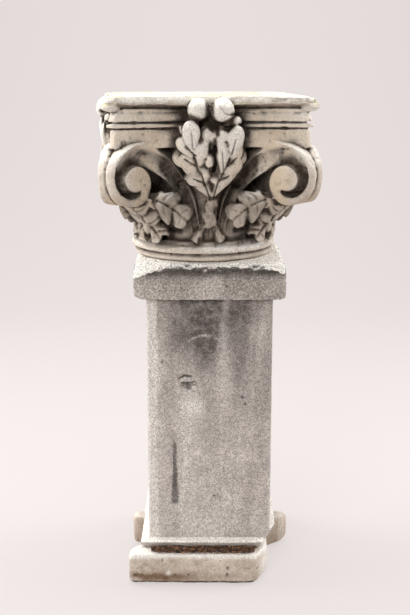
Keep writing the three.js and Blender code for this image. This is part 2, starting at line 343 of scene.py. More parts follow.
def hollows(points, normals, edges, rounds, depth):
    """How far each point lies in a hollow, from 0 to 1, and how far it stands out on an edge: the height of
    the surface smoothed by those rounds over the point, as a share of a depth."""
    rise = ((relaxed(points, edges, rounds) - points) * normals).sum(axis=1)
    return np.clip(rise / depth, 0, 1), np.clip(-rise / depth, 0, 1)


def node(tree, kind, inputs=None, **settings):
    """Adds a node. An input given as a socket is linked, and any other value is set on the input."""
    made = tree.nodes.new("ShaderNode" + kind)
    for name, value in settings.items():
        setattr(made, name, value)
    for name, value in (inputs or {}).items():
        if isinstance(value, bpy.types.NodeSocket):
            tree.links.new(value, made.inputs[name])
        else:
            made.inputs[name].default_value = value
    return made


def mixed(tree, amount, base, over):
    """Colour of one socket or value laid over another by an amount."""
    return node(tree, "Mix", {0: amount, 6: base, 7: over}, data_type="RGBA").outputs[2]


def scaled(tree, value, low, high, least=0.0, most=1.0):
    """A value stretched so that low gives least and high gives most, smoothly and not beyond."""
    inputs = {"Value": value, "From Min": low, "From Max": high, "To Min": least, "To Max": most}
    return node(tree, "MapRange", inputs, interpolation_type="SMOOTHSTEP").outputs["Result"]


def reckoned(tree, how, *values):
    """The result of one sum, difference or product of values."""
    return node(tree, "Math", dict(enumerate(values)), operation=how).outputs[0]


def product(tree, first, second):
    """Two values multiplied."""
    return reckoned(tree, "MULTIPLY", first, second)


def times(tree, vector, factor):
    """A colour or place multiplied by a factor."""
    return node(tree, "VectorMath", {0: vector, "Scale": factor}, operation="SCALE").outputs[0]


def cloudy(tree, place, scale, detail, roughness=0.5):
    """Cloudy noise at a place, from 0 to 1."""
    inputs = {"Vector": place, "Scale": scale, "Detail": detail, "Roughness": roughness}
    return node(tree, "TexNoise", inputs).outputs["Fac"]


def point_value(tree, name):
    """The value that a mesh keeps for each point under that name."""
    return node(tree, "Attribute", attribute_name=name).outputs["Fac"]


def stone_group():
    """Weathered stone: two colours mottled by cloudy noise, with grains, dark pores, pale edges of wear and a
    painted highlight, stains, dark hollows of soil and painted shade, and a pale dusting with painted top
    light. Puts out a colour, a roughness and a height for bump."""
    group = bpy.data.node_groups.new("weathered stone", "ShaderNodeTree")
    face = group.interface
    for name, kind, value in (
        ("Pale", "Color", (0.6, 0.55, 0.5, 1)), ("Body", "Color", (0.4, 0.35, 0.3, 1)),
        ("Dark", "Color", (0.05, 0.03, 0.02, 1)), ("Stain Color", "Color", (0.2, 0.12, 0.06, 1)),
        ("Grain Size", "Float", 1.0), ("Grain", "Float", 0.5), ("Mottle", "Float", 0.5),
        ("Hollow", "Float", 0.0), ("Edge", "Float", 0.0), ("Dust", "Float", 0.0), ("Stain", "Float", 0.0),
    ):
        socket = face.new_socket(name, in_out="INPUT", socket_type="NodeSocket" + kind)
        socket.default_value = value
    face.new_socket("Color", in_out="OUTPUT", socket_type="NodeSocketColor")
    face.new_socket("Roughness", in_out="OUTPUT", socket_type="NodeSocketFloat")
    face.new_socket("Height", in_out="OUTPUT", socket_type="NodeSocketFloat")
    given = group.nodes.new("NodeGroupInput").outputs
    place = node(group, "TexCoord").outputs["Object"]
    near_place = times(group, place, given["Grain Size"])

    cloud = cloudy(group, place, 14, 6, 0.62)
    patch = cloudy(group, place, 55, 5, 0.7)
    grain = cloudy(group, near_place, 420, 3, 0.75)
    speck = node(group, "TexVoronoi", {"Vector": near_place, "Scale": 380}).outputs["Distance"]
    pore = product(group, scaled(group, speck, 0.28, 0.08), scaled(group, patch, 0.5, 0.62))

    light = reckoned(group, "ADD", scaled(group, cloud, 0.36, 0.64), scaled(group, patch, 0.35, 0.65))
    light = reckoned(group, "SUBTRACT", product(group, light, 0.5), 0.5)
    light = reckoned(group, "MULTIPLY_ADD", light, given["Mottle"], 0.5)
    color = mixed(group, light, given["Body"], given["Pale"])
    # Edges are laid pale: wear and a painted highlight.
    color = mixed(group, product(group, given["Edge"], 0.75), color, given["Pale"])
    # Hollow lays soil and painted shade, and the pale dusting also lays painted top light.
    # Each mark is broken up by the patches: its name, how the patches scale it, and its colour.
    for name, low, high, least, over in (
        ("Stain", 0.25, 0.6, 0.55, given["Stain Color"]), ("Hollow", 0.2, 0.6, 0.75, given["Dark"]),
        ("Dust", 0.2, 0.5, 0.6, DUST_AND_LIGHT_COLOR),
    ):
        amount = product(group, given[name], scaled(group, patch, low, high, least))
        color = mixed(group, amount, color, over)
    dotted = times(group, color, scaled(group, grain, 0.30, 0.70, 0.45, 1.55))
    color = mixed(group, given["Grain"], color, dotted)
    color = mixed(group, product(group, pore, product(group, given["Grain"], 0.8)), color, given["Dark"])

    rough = scaled(group, patch, 0.3, 0.7, 0.78, 0.95)
    peck = cloudy(group, near_place, 170, 3, 0.6)
    height = reckoned(group, "ADD", grain, product(group, peck, 2.2))
    height = reckoned(group, "SUBTRACT", height, product(group, pore, 0.7))
    result = group.nodes.new("NodeGroupOutput").inputs
    for name, value in (("Color", color), ("Roughness", rough), ("Height", height)):
        group.links.new(value, result[name])
    return group


STONE = stone_group()


def stone_finish(name, colors, grain_size, grain, mottle, bump):
    """Material of one stone. Its marks come from the mesh's attributes: soil and painted shade in the hollows,
    wear and a painted highlight on the edges, a dusting with painted top light, and stains.
    """
    finish = bpy.data.materials.new(name)
    finish.use_nodes = True
    tree = finish.node_tree
    values = dict(zip(("Pale", "Body", "Dark", "Stain Color"), colors))
    values |= {"Grain Size": grain_size, "Grain": grain, "Mottle": mottle}
    values |= {socket: point_value(tree, socket.lower()) for socket in ("Hollow", "Edge", "Dust", "Stain")}
    stone = node(tree, "Group", values, node_tree=STONE)
    bumped = node(tree, "Bump", {"Height": stone.outputs["Height"], "Distance": 0.001, "Strength": bump})
    shader = tree.nodes["Principled BSDF"]
    shader.inputs["Specular IOR Level"].default_value = 0.25
    tree.links.new(stone.outputs["Color"], shader.inputs["Base Color"])
    tree.links.new(stone.outputs["Roughness"], shader.inputs["Roughness"])
    tree.links.new(bumped.outputs["Normal"], shader.inputs["Normal"])
    return finish


def worn_footing(seed):
    """Wear of a footing stone: edges drawn in unevenly, and a rough split surface with small pits."""
    def wear(points, normals, edges):
        soft = relaxed(points, edges, 45)
        amount = ease(noise(points, 0.045, seed, 2), 0.25, 0.7)[:, None]
        points = points + (soft - points) * (0.55 + 0.45 * amount)
        rough = 0.0042 * noise(points, 0.055, seed + 1) + 0.0010 * noise(points, 0.010, seed + 2, 2)
        pits = 0.0022 * ease(noise(points, 0.012, seed + 3, 2), 0.74, 0.86)
        return points - normals * (rough + pits)[:, None]
    return wear


def front_marks(points, normals, edges):
    """Lime and painted top light on the worn top edge, a rusty band low on the left, soil on the ledge, two
    holes painted as dark shade, a white spot, a broken right end painted white as lit from the right, and a
    painted contact shadow along the foot."""
    x, y, z = points.T
    across = (x - FRONT_LOW[0]) / (FRONT_HIGH[0] - FRONT_LOW[0])
    hollow, edge = hollows(points, normals, edges, 12, 0.0007)
    ragged = 0.012 * (noise(points, 0.03, 41) - 0.5)
    band = near(z + ragged, 0.021, 0.011) * (0.25 + 0.75 * ease(across, 0.62, 0.05))
    band = band * ease(across, -0.02, 0.08) * ease(noise(points, 0.02, 42), 0.15, 0.5)
    soil = ease(normals[:, 2], 0.6, 0.9) * near(y, FRONT_LOW[1] + 0.045, 0.030) * ease(across, 0.1, 0.2)
    # The two holes are only painted: dark spots of shade.
    holes = sum(near(x, hx, 0.0035) * near(z, hz, 0.0045) for hx, hz in FRONT_HOLES)
    white = near(x, LIME_SPOT[0], 0.006) * near(z, LIME_SPOT[1], 0.006)
    # The broken right end is painted white, as lit strongly from the right.
    white = white + ease(across + 1.5 * ragged, 0.90, 0.97)
    # A painted contact shadow along the foot of the stone.
    foot = 1.5 * ease(z, 0.013, 0.005)
    return {
        "hollow": 0.55 * hollow + holes + foot * ease(noise(points, 0.01, 43), 0.1, 0.5),
        "edge": edge + 0.5 * white,
        "dust": ease(z + ragged, 0.060, 0.073) * (1 - soil) * 0.9 + 0.75 * white,
        "stain": 1.5 * band + 0.6 * soil,
    }


def rear_marks(points, normals, edges):
    """Tan stone with upright run marks, a pale top of dusting and painted top light, and a painted contact
    shadow along the foot.
    """
    z = points[:, 2]
    hollow, edge = hollows(points, normals, edges, 12, 0.0007)
    runs = noise(points * [1, 1, 0.12], 0.016, 51)
    # The hollow mark paints a contact shadow along the foot, and the pale mark paints the top lighter as lit
    # from above.
    return {
        "hollow": 0.6 * hollow + 0.5 * ease(z, 0.012, 0.0),
        "edge": edge,
        "dust": ease(normals[:, 2], 0.3, 0.9) * 0.35 + 0.15 * ease(runs, 0.5, 0.7),
        "stain": 0.25 * ease(runs, 0.62, 0.35) + 0.25 * near(z, 0.02, 0.02),
    }


footing_finish = stone_finish(
    "pale sandstone", (FOOTING_PALE, FOOTING_BODY, FOOTING_DARK, FOOTING_STAIN),
    grain_size=0.9, grain=0.5, mottle=0.9, bump=0.7)
front_stone = weathered(
    "front_stone", "front_footing_stone", [slab(FRONT_LOW[:2] + FRONT_PLAN, FOOTING_LEVELS)],
    voxel=0.0021, wear=worn_footing(11), marks=front_marks)
rear_stone = weathered(
    "rear_stone", "rear_footing_stone", [slab(REAR_LOW[:2] + REAR_PLAN, FOOTING_LEVELS)],
    voxel=0.0025, wear=worn_footing(21), marks=rear_marks)
for piece, replaced in ((front_stone, "front_footing_stone"), (rear_stone, "rear_footing_stone")):
    piece.data.materials.append(footing_finish)
    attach(piece, "root")
    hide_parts(replaced)


# ---- Dry pine needles ----
# Fallen needles that wind has packed on the ledge of the front stone, against the foot of the pillar. Each is
# a thin bent blade, and they lie on and over each other in a loose mat.

NEEDLE_COUNT = 900
NEEDLE_LENGTH = 0.038
NEEDLE_RADIUS = 0.00065
LEDGE_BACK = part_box("shaft")[0][1]
LEDGE_FRONT = FRONT_LOW[1] + 0.008
LEDGE_ENDS = (-0.122, 0.122)
NEEDLE_TOP = FOOTING_TOP + 0.0065
NEEDLE_COLORS = ((0.16, 0.062, 0.022, 1), (0.42, 0.20, 0.085, 1), (0.030, 0.016, 0.010, 1))


def needles():
    """Every needle is a closed skin of four-sided rings along a bent line. The line is a random stretch over
    the ledge, mostly running along it, lifted by its own random height and bent by half a sine wave."""
    draw = np.random.default_rng(7)
    steps = np.linspace(-0.5, 0.5, 6)
    heading = draw.normal(0, 0.55, NEEDLE_COUNT)
    length = NEEDLE_LENGTH * draw.uniform(0.45, 1.1, NEEDLE_COUNT)
    middle = np.column_stack([
        draw.uniform(*LEDGE_ENDS, NEEDLE_COUNT),
        LEDGE_BACK - np.abs(draw.normal(0, 0.011, NEEDLE_COUNT)),
        FOOTING_TOP - 0.001 + (NEEDLE_TOP - FOOTING_TOP) * draw.uniform(0, 1, NEEDLE_COUNT) ** 1.5,
    ])
    along = np.column_stack([np.cos(heading), np.sin(heading), draw.normal(0, 0.08, NEEDLE_COUNT)])
    bend = draw.normal(0, 0.004, (NEEDLE_COUNT, 1)) * np.cos(math.pi * steps)
    line = middle[:, None] + along[:, None] * (length[:, None] * steps)[..., None]
    line[..., 1] += bend
    line[..., 0] = np.clip(line[..., 0], *LEDGE_ENDS)
    line[..., 1] = np.clip(line[..., 1], LEDGE_FRONT, LEDGE_BACK - NEEDLE_RADIUS)
    line[..., 2] = np.clip(line[..., 2], FOOTING_TOP - 0.002, NEEDLE_TOP)
    taper = NEEDLE_RADIUS * np.array([0.35, 0.9, 1, 1, 0.9, 0.35])
    skins = []
    for needle, angle in zip(line, heading):
        across = np.array([-math.sin(angle), math.cos(angle), 0])
        ring = np.array([across, (0, 0, 1), -across, (0, 0, -1)])
        skins.append(shell(needle[:, None] + taper[:, None, None] * ring[::-1]))
    return skins


skins = needles()
needle_mat = mesh_object("pine_needles", *joined(skins))
tint = np.repeat(np.random.default_rng(8).uniform(0, 1, NEEDLE_COUNT), len(skins[0][0]))
needle_mat.data.attributes.new("tint", "FLOAT", "POINT").data.foreach_set("value", tint.astype(np.float32))
needle_finish = bpy.data.materials.new("dry needles")
needle_finish.use_nodes = True
tree = needle_finish.node_tree
patchy = cloudy(tree, node(tree, "TexCoord").outputs["Object"], 160, 3)
color = mixed(tree, scaled(tree, point_value(tree, "tint"), 0.25, 0.95), NEEDLE_COLORS[0], NEEDLE_COLORS[1])
color = mixed(tree, scaled(tree, patchy, 0.62, 0.45), color, NEEDLE_COLORS[2])
shader = tree.nodes["Principled BSDF"]
shader.inputs["Roughness"].default_value = 0.7
tree.links.new(color, shader.inputs["Base Color"])
needle_mat.data.materials.append(needle_finish)
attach(needle_mat, "root")


# ---- The shaft of the pillar ----
# One block of grey limestone on a narrow fillet. A mason dressed its faces with a bush hammer, inside a
# smoother drawn margin. Water has stained it, a pit is broken out of its front, and one lower corner is lost.

SHAFT_LOW, SHAFT_HIGH = np.array(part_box("shaft"))
SHAFT_MIDDLE = (SHAFT_LOW + SHAFT_HIGH) / 2
SHAFT_HALF = 0.145
FILLET_TOP = 0.0955
FILLET_LEVELS = ((SHAFT_LOW[2], 0.001), (FILLET_TOP - 0.002, 0), (FILLET_TOP, 0.002))
MARGIN = 0.024
# Marks on the front face, by across and height: a broken pit, a shallow scar and a hair crack.
PIT = (-0.034, 0.482)
SCAR = (-0.018, 0.425)
CRACK = (0.073, 0.3735)
# Small holes in the front face: across, height, size and depth.
SHAFT_HOLES = (
    (0.0925, 0.447, 0.0034, 0.006), (0.0985, 0.431, 0.0026, 0.004), (0.0265, 0.203, 0.0028, 0.005),
    (0.0335, 0.206, 0.0020, 0.004), (-0.094, 0.531, 0.0026, 0.003), (-0.0925, 0.536, 0.0020, 0.003),
)
RUN_ACROSS = -0.0655  # the dark run low on the left
RUN_FOOT = 0.1835  # where it ends, cut off square
LIME_HEIGHT = 0.5955  # the lime line that the water stain's edge left
# The break of the lower right corner: where it meets the front face, from the shaft's middle, and its slope.
BREAK_INWARD = 0.118
BREAK_HEIGHT = 0.080
BREAK_FACING = (1, -0.35, -0.72)
SHAFT_PALE = (0.70, 0.635, 0.585, 1)
SHAFT_BODY = (0.37, 0.325, 0.290, 1)
SHAFT_DARK = (0.035, 0.028, 0.023, 1)
SHAFT_STAIN = (0.115, 0.098, 0.086, 1)


def square(half, levels, middle):
    """Upright square block. Each level is a height and how far each side is drawn in there."""
    corners = np.array([(-1, -1), (1, -1), (1, 1), (-1, 1)], float)
    return shell(np.array([
        np.column_stack([np.array(middle) + corners * (half - inset), np.full(4, height)])
        for height, inset in levels
    ]))


def inward(points, normals):
    """How far in from the nearest upright edge of its own face each point lies."""
    across = np.abs(points[:, 0] - SHAFT_MIDDLE[0])
    return SHAFT_HALF - np.where(np.abs(normals[:, 0]) > 0.7, np.abs(points[:, 1]), across)


def worn_shaft(points, normals, edges):
    """Edges drawn in a little and unevenly, bush hammering inside the margins, and in the front a pit with
    ragged ledges, a scar, small holes and a hair crack."""
    x, _, z = points.T
    hammered = ease(inward(points, normals), MARGIN - 0.003, MARGIN + 0.003)
    hammered = hammered * ease(z, FILLET_TOP + 0.002, FILLET_TOP + 0.02)
    soft = relaxed(points, edges, 14)
    amount = 0.25 + 0.75 * ease(noise(points, 0.05, 61, 2), 0.3, 0.75)
    points = points + (soft - points) * amount[:, None]
    lumps = 0.0009 * noise(points, 0.040, 62) + 0.0005 * noise(points, 0.012, 63, 2)
    pecks = (0.0002 + 0.0006 * hammered) * ease(noise(points, 0.0055, 64, 2), 0.35, 0.75)
    front = ease(-normals[:, 1], 0.6, 0.9) * (z > FILLET_TOP)
    ragged = 0.010 * (noise(points, 0.012, 65, 3) - 0.5)
    reach = np.hypot((x - PIT[0] + 0.35 * (z - PIT[1])) / 1.05, (z - PIT[1]) / 1.25) + ragged
    ledges = ease(noise(points * [0.55, 1, 1.9], 0.011, 67, 3), 0.40, 0.58)
    pit = 0.0100 * ease(reach, 0.024, 0.010) * ledges
    scar = 0.0035 * near(x, SCAR[0], 0.018) * near(z, SCAR[1], 0.022)
    scar = scar * ease(noise(points, 0.011, 66), 0.3, 0.6)
    holes = sum(depth * near(x, hx, size) * near(z, hz, size * 0.8) for hx, hz, size, depth in SHAFT_HOLES)
    # The crack falls to the right as a slanting, wavy line.
    fall = CRACK[1] - 0.45 * (x - CRACK[0]) + 0.003 * np.sin(x * 900)
    crack = 0.0018 * near(z, fall, 0.0016) * near(x, CRACK[0], 0.014)
    return points - normals * (lumps + pecks + front * (pit + scar + holes + crack))[:, None]


def shaft_marks(points, normals, edges):
    """Water stain spreading down from the cap, upright runs, a lime line that the stain's edge left, one dark
    square-ended run low on the left, pale margins and foot, painted shade in the pit and the small holes, and
    ledges that face up painted pale, a dusting with painted top light."""
    x, _, z = points.T
    across = x - SHAFT_MIDDLE[0]
    hollow, edge = hollows(points, normals, edges, 12, 0.0008)
    front = ease(-normals[:, 1], 0.5, 0.8)
    blur = noise(points, 0.035, 71)
    runs = noise(points * [1, 1, 0.14], 0.030, 72)
    waver = 0.03 * (blur - 0.5)

    # The water stain: under the cap all round, and on the front a tongue, its lower end, the right, a veil.
    under_cap = ease(z, SHAFT_HIGH[2] - 0.20, SHAFT_HIGH[2] - 0.002)
    hanging = near(x + waver, 0.004, 0.052) * ease(z + waver, 0.560, 0.60)
    lower = 0.60 * near(x + waver, -0.010, 0.040) * ease(z + waver, 0.49, 0.56) * ease(z, 0.63, 0.57)
    right = 0.35 * ease(x + waver, 0.03, 0.10) * ease(z, 0.36, 0.46) * ease(z, 0.60, 0.50)
    veil = 0.58 * ease(z + waver, 0.43, 0.66) * near(x, 0.030, 0.105) * (0.6 + 0.4 * ease(blur, 0.3, 0.6))

    # The lime line falls away to both ends as a parabola.
    bend = z + 11 * (x - 0.004) ** 2
    lime = near(bend + 0.10 * waver, LIME_HEIGHT, 0.0024) * near(x, 0.006, 0.075)
    lime = lime * ease(noise(points, 0.012, 73), 0.35, 0.55)

    # The dark run, wider towards its foot.
    run_width = 0.0042 + 0.0042 * ease(z, 0.29, 0.20)
    streak = ease(np.abs(x - RUN_ACROSS + 0.1 * waver), run_width + 0.0012, run_width - 0.0012)
    streak *= ease(z, RUN_FOOT - 0.001, RUN_FOOT + 0.001) * ease(z, 0.345, 0.325)
    streak *= ease(noise(points, 0.006, 74), 0.10, 0.35)
    foot_arc = near(z + 8 * (x + 0.108) ** 2, 0.163, 0.0016) * near(x, -0.110, 0.012)

    # Painted shade in the deep of the pit and in the small holes.
    pit_dark = ease(hollow, 0.4, 1.0) * near(x, PIT[0], 0.03) * near(z, PIT[1], 0.035)
    holes = sum(near(x, hx, size * 1.1) * near(z, hz, size) for hx, hz, size, _ in SHAFT_HOLES)
    scar_pale = near(x, SCAR[0] - 0.002, 0.020) * near(z, SCAR[1], 0.020)
    margin = ease(inward(points, normals), MARGIN + 0.002, MARGIN - 0.002) * (z > FILLET_TOP)
    left_margin = margin * ease(across, 0.0, -0.1)
    # Ledges that face up are painted pale, a dusting with painted top light.
    ledge = ease(normals[:, 2], 0.4, 0.8)
    pale_foot = 0.35 * near(z, 0.14, 0.06) + 0.30 * near(z, 0.30, 0.10) * near(x, 0.0, 0.07)
    pale_front = 0.45 * left_margin + 0.55 * lime + 0.65 * scar_pale + 0.5 * pale_foot * blur
    stain = front * (0.40 * hanging + 0.7 * lower + right + veil + 0.95 * streak + 0.55 * foot_arc)
    stain += 0.40 * under_cap * ease(runs, 0.20, 0.6) + 0.20 * ease(runs, 0.50, 0.72) + 0.03
    fillet_face = near(z, 0.088, 0.006) * (1 - ledge)
    return {
        "hollow": 0.16 * hollow + front * (0.85 * pit_dark + 0.9 * holes),
        "edge": 0.3 * edge,
        "dust": 0.9 * ledge + front * pale_front + 0.25 * ease(runs, 0.50, 0.28),
        "stain": stain * (1 - 0.7 * left_margin) + 0.25 * fillet_face,
    }


shaft_skins = [
    square(SHAFT_HALF, ((SHAFT_LOW[2], 0), (SHAFT_HIGH[2], 0)), SHAFT_MIDDLE[:2]),
    square(SHAFT_HIGH[1], FILLET_LEVELS, SHAFT_MIDDLE[:2]),
]
break_point = (SHAFT_MIDDLE[0] + BREAK_INWARD, SHAFT_LOW[1], BREAK_HEIGHT)
shaft = weathered(
    "shaft_block", "shaft", [broken(skin, break_point, BREAK_FACING) for skin in shaft_skins],
    voxel=0.0026, wear=worn_shaft, marks=shaft_marks)
shaft.data.materials.append(stone_finish(
    "bush hammered limestone", (SHAFT_PALE, SHAFT_BODY, SHAFT_DARK, SHAFT_STAIN),
    grain_size=0.85, grain=0.9, mottle=0.60, bump=1.0))
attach(shaft, "root")
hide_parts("shaft")


# ---- The cap slab ----
# A square slab of the same grey stone, bedded on the shaft. Rain has worn its upper edges round and its
# corners down to slopes, and a flake is gone from either lower front corner.

SLAB_LOW, SLAB_HIGH = np.array(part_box("cap_slab"))
SLAB_MIDDLE = (SLAB_LOW + SLAB_HIGH) / 2
SLAB_HALF = SLAB_HIGH[1]
SLAB_WORN = 0.011
SLAB_LEVELS = (
    (SLAB_LOW[2], 0.001), (SLAB_LOW[2] + 0.002, 0), (SLAB_HIGH[2] - SLAB_WORN, 0),
    (SLAB_HIGH[2] - 0.005, 0.003), (SLAB_HIGH[2], SLAB_WORN),
)
# How far each corner is worn back, by the side it lies on in x and in y.
CORNER_WEAR = ((-1, -1, 0.060), (1, -1, 0.036), (1, 1, 0.045), (-1, 1, 0.040))
# The flakes gone from the lower front corners: side, end of the slab, and how far in along the lower edge.
FLAKES = ((-1, SLAB_LOW[0], 0.022), (1, SLAB_HIGH[0], 0.014))
SLAB_PALE = (0.55, 0.50, 0.455, 1)
SLAB_BODY = (0.30, 0.265, 0.232, 1)
SLAB_DARK = (0.050, 0.040, 0.032, 1)
SLAB_STAIN = (0.135, 0.118, 0.102, 1)


def worn_slab(points, normals, edges):
    """A round, uneven upper edge with chips along the front and back, a granular surface, and pits that are
    deeper on the bare top round the capital."""
    soft = relaxed(points, edges, 40)
    z = points[:, 2]
    upper = ease(z, SLAB_LOW[2] + 0.03, SLAB_HIGH[2] - 0.015)
    amount = 0.2 + (0.3 + 0.5 * ease(noise(points, 0.05, 81, 2), 0.3, 0.7)) * upper
    points = points + (soft - points) * amount[:, None]
    rough = 0.0013 * noise(points, 0.030, 82) + 0.0012 * ease(noise(points, 0.0065, 83, 2), 0.35, 0.8)
    bed = ease(normals[:, 2], 0.9, 0.97) * ease(np.hypot(points[:, 0], points[:, 1]), 0.150, 0.158)
    pits = (0.5 + bed) * 0.0018 * ease(noise(points, 0.016, 84), 0.58, 0.75)
    chips = 0.004 * ease(noise(points, 0.022, 85, 2), 0.70, 0.80)
    chips = chips * ease(np.abs(points[:, 1]), 0.155, 0.172) * upper
    return points - normals * (rough + pits + chips)[:, None]


def slab_marks(points, normals, edges):
    """White on all that faces up, lime with painted top light, a dark drip band just under the upper edge of
    the sides, and a brown mottle, stronger underneath as painted shade on the faces that look down."""
    z = points[:, 2]
    hollow, edge = hollows(points, normals, edges, 12, 0.0009)
    # Faces that look up are painted white: lime and painted top light.
    upward = ease(normals[:, 2] + 0.10 * (noise(points, 0.008, 91) - 0.5), 0.28, 0.62)
    ragged = 0.008 * (noise(points, 0.02, 92) - 0.5)
    drip = near(z + ragged, SLAB_HIGH[2] - 0.018, 0.012) * (1 - upward)
    # The stain mark also paints shade on the faces that look down.
    return {
        "hollow": 0.35 * hollow * (1 - 0.6 * upward) + 0.62 * drip,
        "edge": 0.8 * edge * (1 - drip),
        "dust": upward * (0.72 + 0.28 * noise(points, 0.02, 93)),
        "stain": drip + 0.25 * ease(noise(points, 0.05, 94), 0.45, 0.7) + 0.2 * (normals[:, 2] < -0.5),
    }


slab_skin = square(SLAB_HALF, SLAB_LEVELS, SLAB_MIDDLE[:2])
for side_x, side_y, worn in CORNER_WEAR:
    slope_start = (SLAB_MIDDLE[0] + side_x * (SLAB_HALF - worn), side_y * SLAB_HALF, SLAB_HIGH[2] - SLAB_WORN)
    slab_skin = broken(slab_skin, slope_start, (side_x * 0.36, side_y * 0.3, 1))
for side, end, length in FLAKES:
    slab_skin = broken(slab_skin, (end - side * length, SLAB_LOW[1], SLAB_LOW[2]), (side, -0.6, -0.8))
cap = weathered("cap_block", "cap_slab", [slab_skin], voxel=0.0023, wear=worn_slab, marks=slab_marks)
cap.data.materials.append(stone_finish(
    "worn limestone cap", (SLAB_PALE, SLAB_BODY, SLAB_DARK, SLAB_STAIN),
    grain_size=0.6, grain=1.0, mottle=0.8, bump=1.0))
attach(cap, "root")
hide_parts("cap_slab")


# ---- The capital ----
# One block of pale limestone, carved and then weathered. A four-sided abacus with hollow sides sits on a
# round bell. Four volutes stand on the diagonals, fed by stalks that rise across the bell, with oak leaves
# under them, and a forked oak branch with an acorn and two round galls climbs the middle of each face.

CAPITAL_LOW, CAPITAL_HIGH = np.array(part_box("capital"))
CAPITAL_TURN = math.radians(5)
CAPITAL_FOOT = CAPITAL_LOW[2]
TOP = CAPITAL_HIGH[2]
QUARTERS = (0, math.pi / 2, math.pi, 3 * math.pi / 2)
CAPITAL_PALE = (0.76, 0.685, 0.595, 1)
CAPITAL_BODY = (0.51, 0.430, 0.348, 1)
CAPITAL_DARK = (0.040, 0.027, 0.018, 1)
CAPITAL_STAIN = (0.270, 0.195, 0.135, 1)
CAPITAL_OCHRE = (0.68, 0.52, 0.335, 1)
CAPITAL_MOSS = (0.42, 0.40, 0.16, 1)


def turned(skin, angle):
    """A skin turned about the upright axis."""
    points, triangles = skin
    c, s = math.cos(angle), math.sin(angle)
    return points @ np.array([[c, s, 0], [-s, c, 0], [0, 0, 1]]), triangles


def other_hand(skin):
    """The mirror image of a skin from left to right."""
    points, triangles = skin
    return points * [-1, 1, 1], triangles[:, ::-1]


def unit(vectors):
    """Vectors scaled to length one."""
    return vectors / np.maximum(np.linalg.norm(vectors, axis=-1, keepdims=True), 1e-9)


def smooth_line(knots, count):
    """Catmull-Rom line through knots: a cubic between two knots, whose slope at each is half the step between
    that knot's neighbours."""
    knots = np.asarray(knots, float)
    if knots.ndim == 1:
        return smooth_line(knots[:, None], count)[:, 0]
    padded = np.concatenate([[2 * knots[0] - knots[1]], knots, [2 * knots[-1] - knots[-2]]])
    place = np.linspace(0, len(knots) - 1, count)
    cell = np.minimum(place.astype(int), len(knots) - 2)
    f = (place - cell)[:, None]
    p0, p1, p2, p3 = (padded[cell + k] for k in range(4))
    return 0.5 * (2 * p1 + (p2 - p0) * f + (2 * p0 - 5 * p1 + 4 * p2 - p3) * f**2
                  + (3 * p1 - p0 - 3 * p2 + p3) * f**3)


# The abacus. Each level of its profile: half-width at the outermost planes, reach of the cant, height.
SIDE_HOLLOW = 0.030
ABACUS_PROFILE = (
    (0.2165, 0.011, 1.0225), (0.2170, 0.011, 1.0240), (0.2150, 0.011, 1.0608), (0.2050, 0.010, 1.0616),
    (0.2050, 0.010, 1.0650), (0.2210, 0.012, 1.0656), (0.2230, 0.013, 1.0668), (0.2230, 0.013, 1.0722),
    (0.2215, 0.012, 1.0738), (0.2055, 0.010, 1.0742), (0.2055, 0.010, 1.0774), (0.2190, 0.012, 1.0780),
    (0.2185, 0.012, 1.0800), (0.2135, 0.011, 1.0955), (0.2105, 0.010, 1.0975), (0.2150, 0.011, 1.0990),
    (0.2160, 0.011, 1.1040), (0.2065, 0.010, 1.1050), (0.2065, 0.010, 1.1082), (0.2340, 0.032, 1.1088),
    (0.2370, 0.033, 1.1110), (0.2370, 0.033, 1.1290), (0.2345, 0.032, 1.1335), (0.2290, 0.030, TOP),
)


def abacus():
    """Each level is a square whose sides bow inwards as a parabola, with a straight cant for a corner."""
    across = np.linspace(-1, 1, 25)
    rings = []
    for half, cant, height in ABACUS_PROFILE:
        side = np.stack([
            across * (half - cant), -half + SIDE_HOLLOW * (1 - across**2), np.full(len(across), height),
        ], axis=1)
        rings.append(np.concatenate([turned((side, None), angle)[0] for angle in QUARTERS]))
    return shell(np.array(rings))


# The bell and the astragal at its foot, as radius and height.
BELL_PROFILE = (
    (0.1550, CAPITAL_FOOT), (0.1600, 0.7700), (0.1632, 0.7740), (0.1632, 0.7785), (0.1600, 0.7815),
    (0.1560, 0.7825), (0.1560, 0.7845), (0.1645, 0.7855), (0.1682, 0.7885), (0.1690, 0.7925),
    (0.1682, 0.7975), (0.1650, 0.8020), (0.1590, 0.8040), (0.1580, 0.8100), (0.1570, 0.8130),
    (0.1480, 0.8150), (0.1480, 0.8350), (0.1480, 0.8800), (0.1510, 0.9200), (0.1560, 0.9650),
    (0.1640, 1.0000), (0.1680, 1.0130), (0.1700, 1.0300),
)


def bell():
    """The profile turned round the upright axis."""
    angle = np.linspace(0, 2 * math.pi, 160, endpoint=False)
    around = np.stack([np.cos(angle), np.sin(angle)], axis=1)
    return shell(np.array([
        np.column_stack([radius * around, np.full(len(angle), height)]) for radius, height in BELL_PROFILE
    ]))


# A volute winds in the upright plane through a diagonal. Its radius is given at each quarter turn.
EYE_RHO = 0.266  # the eye's distance from the axis, along the diagonal
EYE_HEIGHT = 0.950
TURN_RADII = (0.117, 0.083, 0.0560, 0.0505, 0.0410, 0.0362, 0.0268, 0.0205, 0.0200)
FIRST_TURN = -0.25  # turns from the spiral's top, where the radii begin
EYE_BREADTH = 0.043
WEB_BREADTH = 0.009
GROOVE_END = 0.64  # turns at which the hollow beside the eye runs out


def on_corner(rho, breadth, height):
    """Points on the front left corner, by distance along the diagonal, breadth across it, and height."""
    rho, breadth, height = np.broadcast_arrays(rho, breadth, height)
    return np.stack([(breadth - rho) / math.sqrt(2), -(breadth + rho) / math.sqrt(2), height], axis=-1)


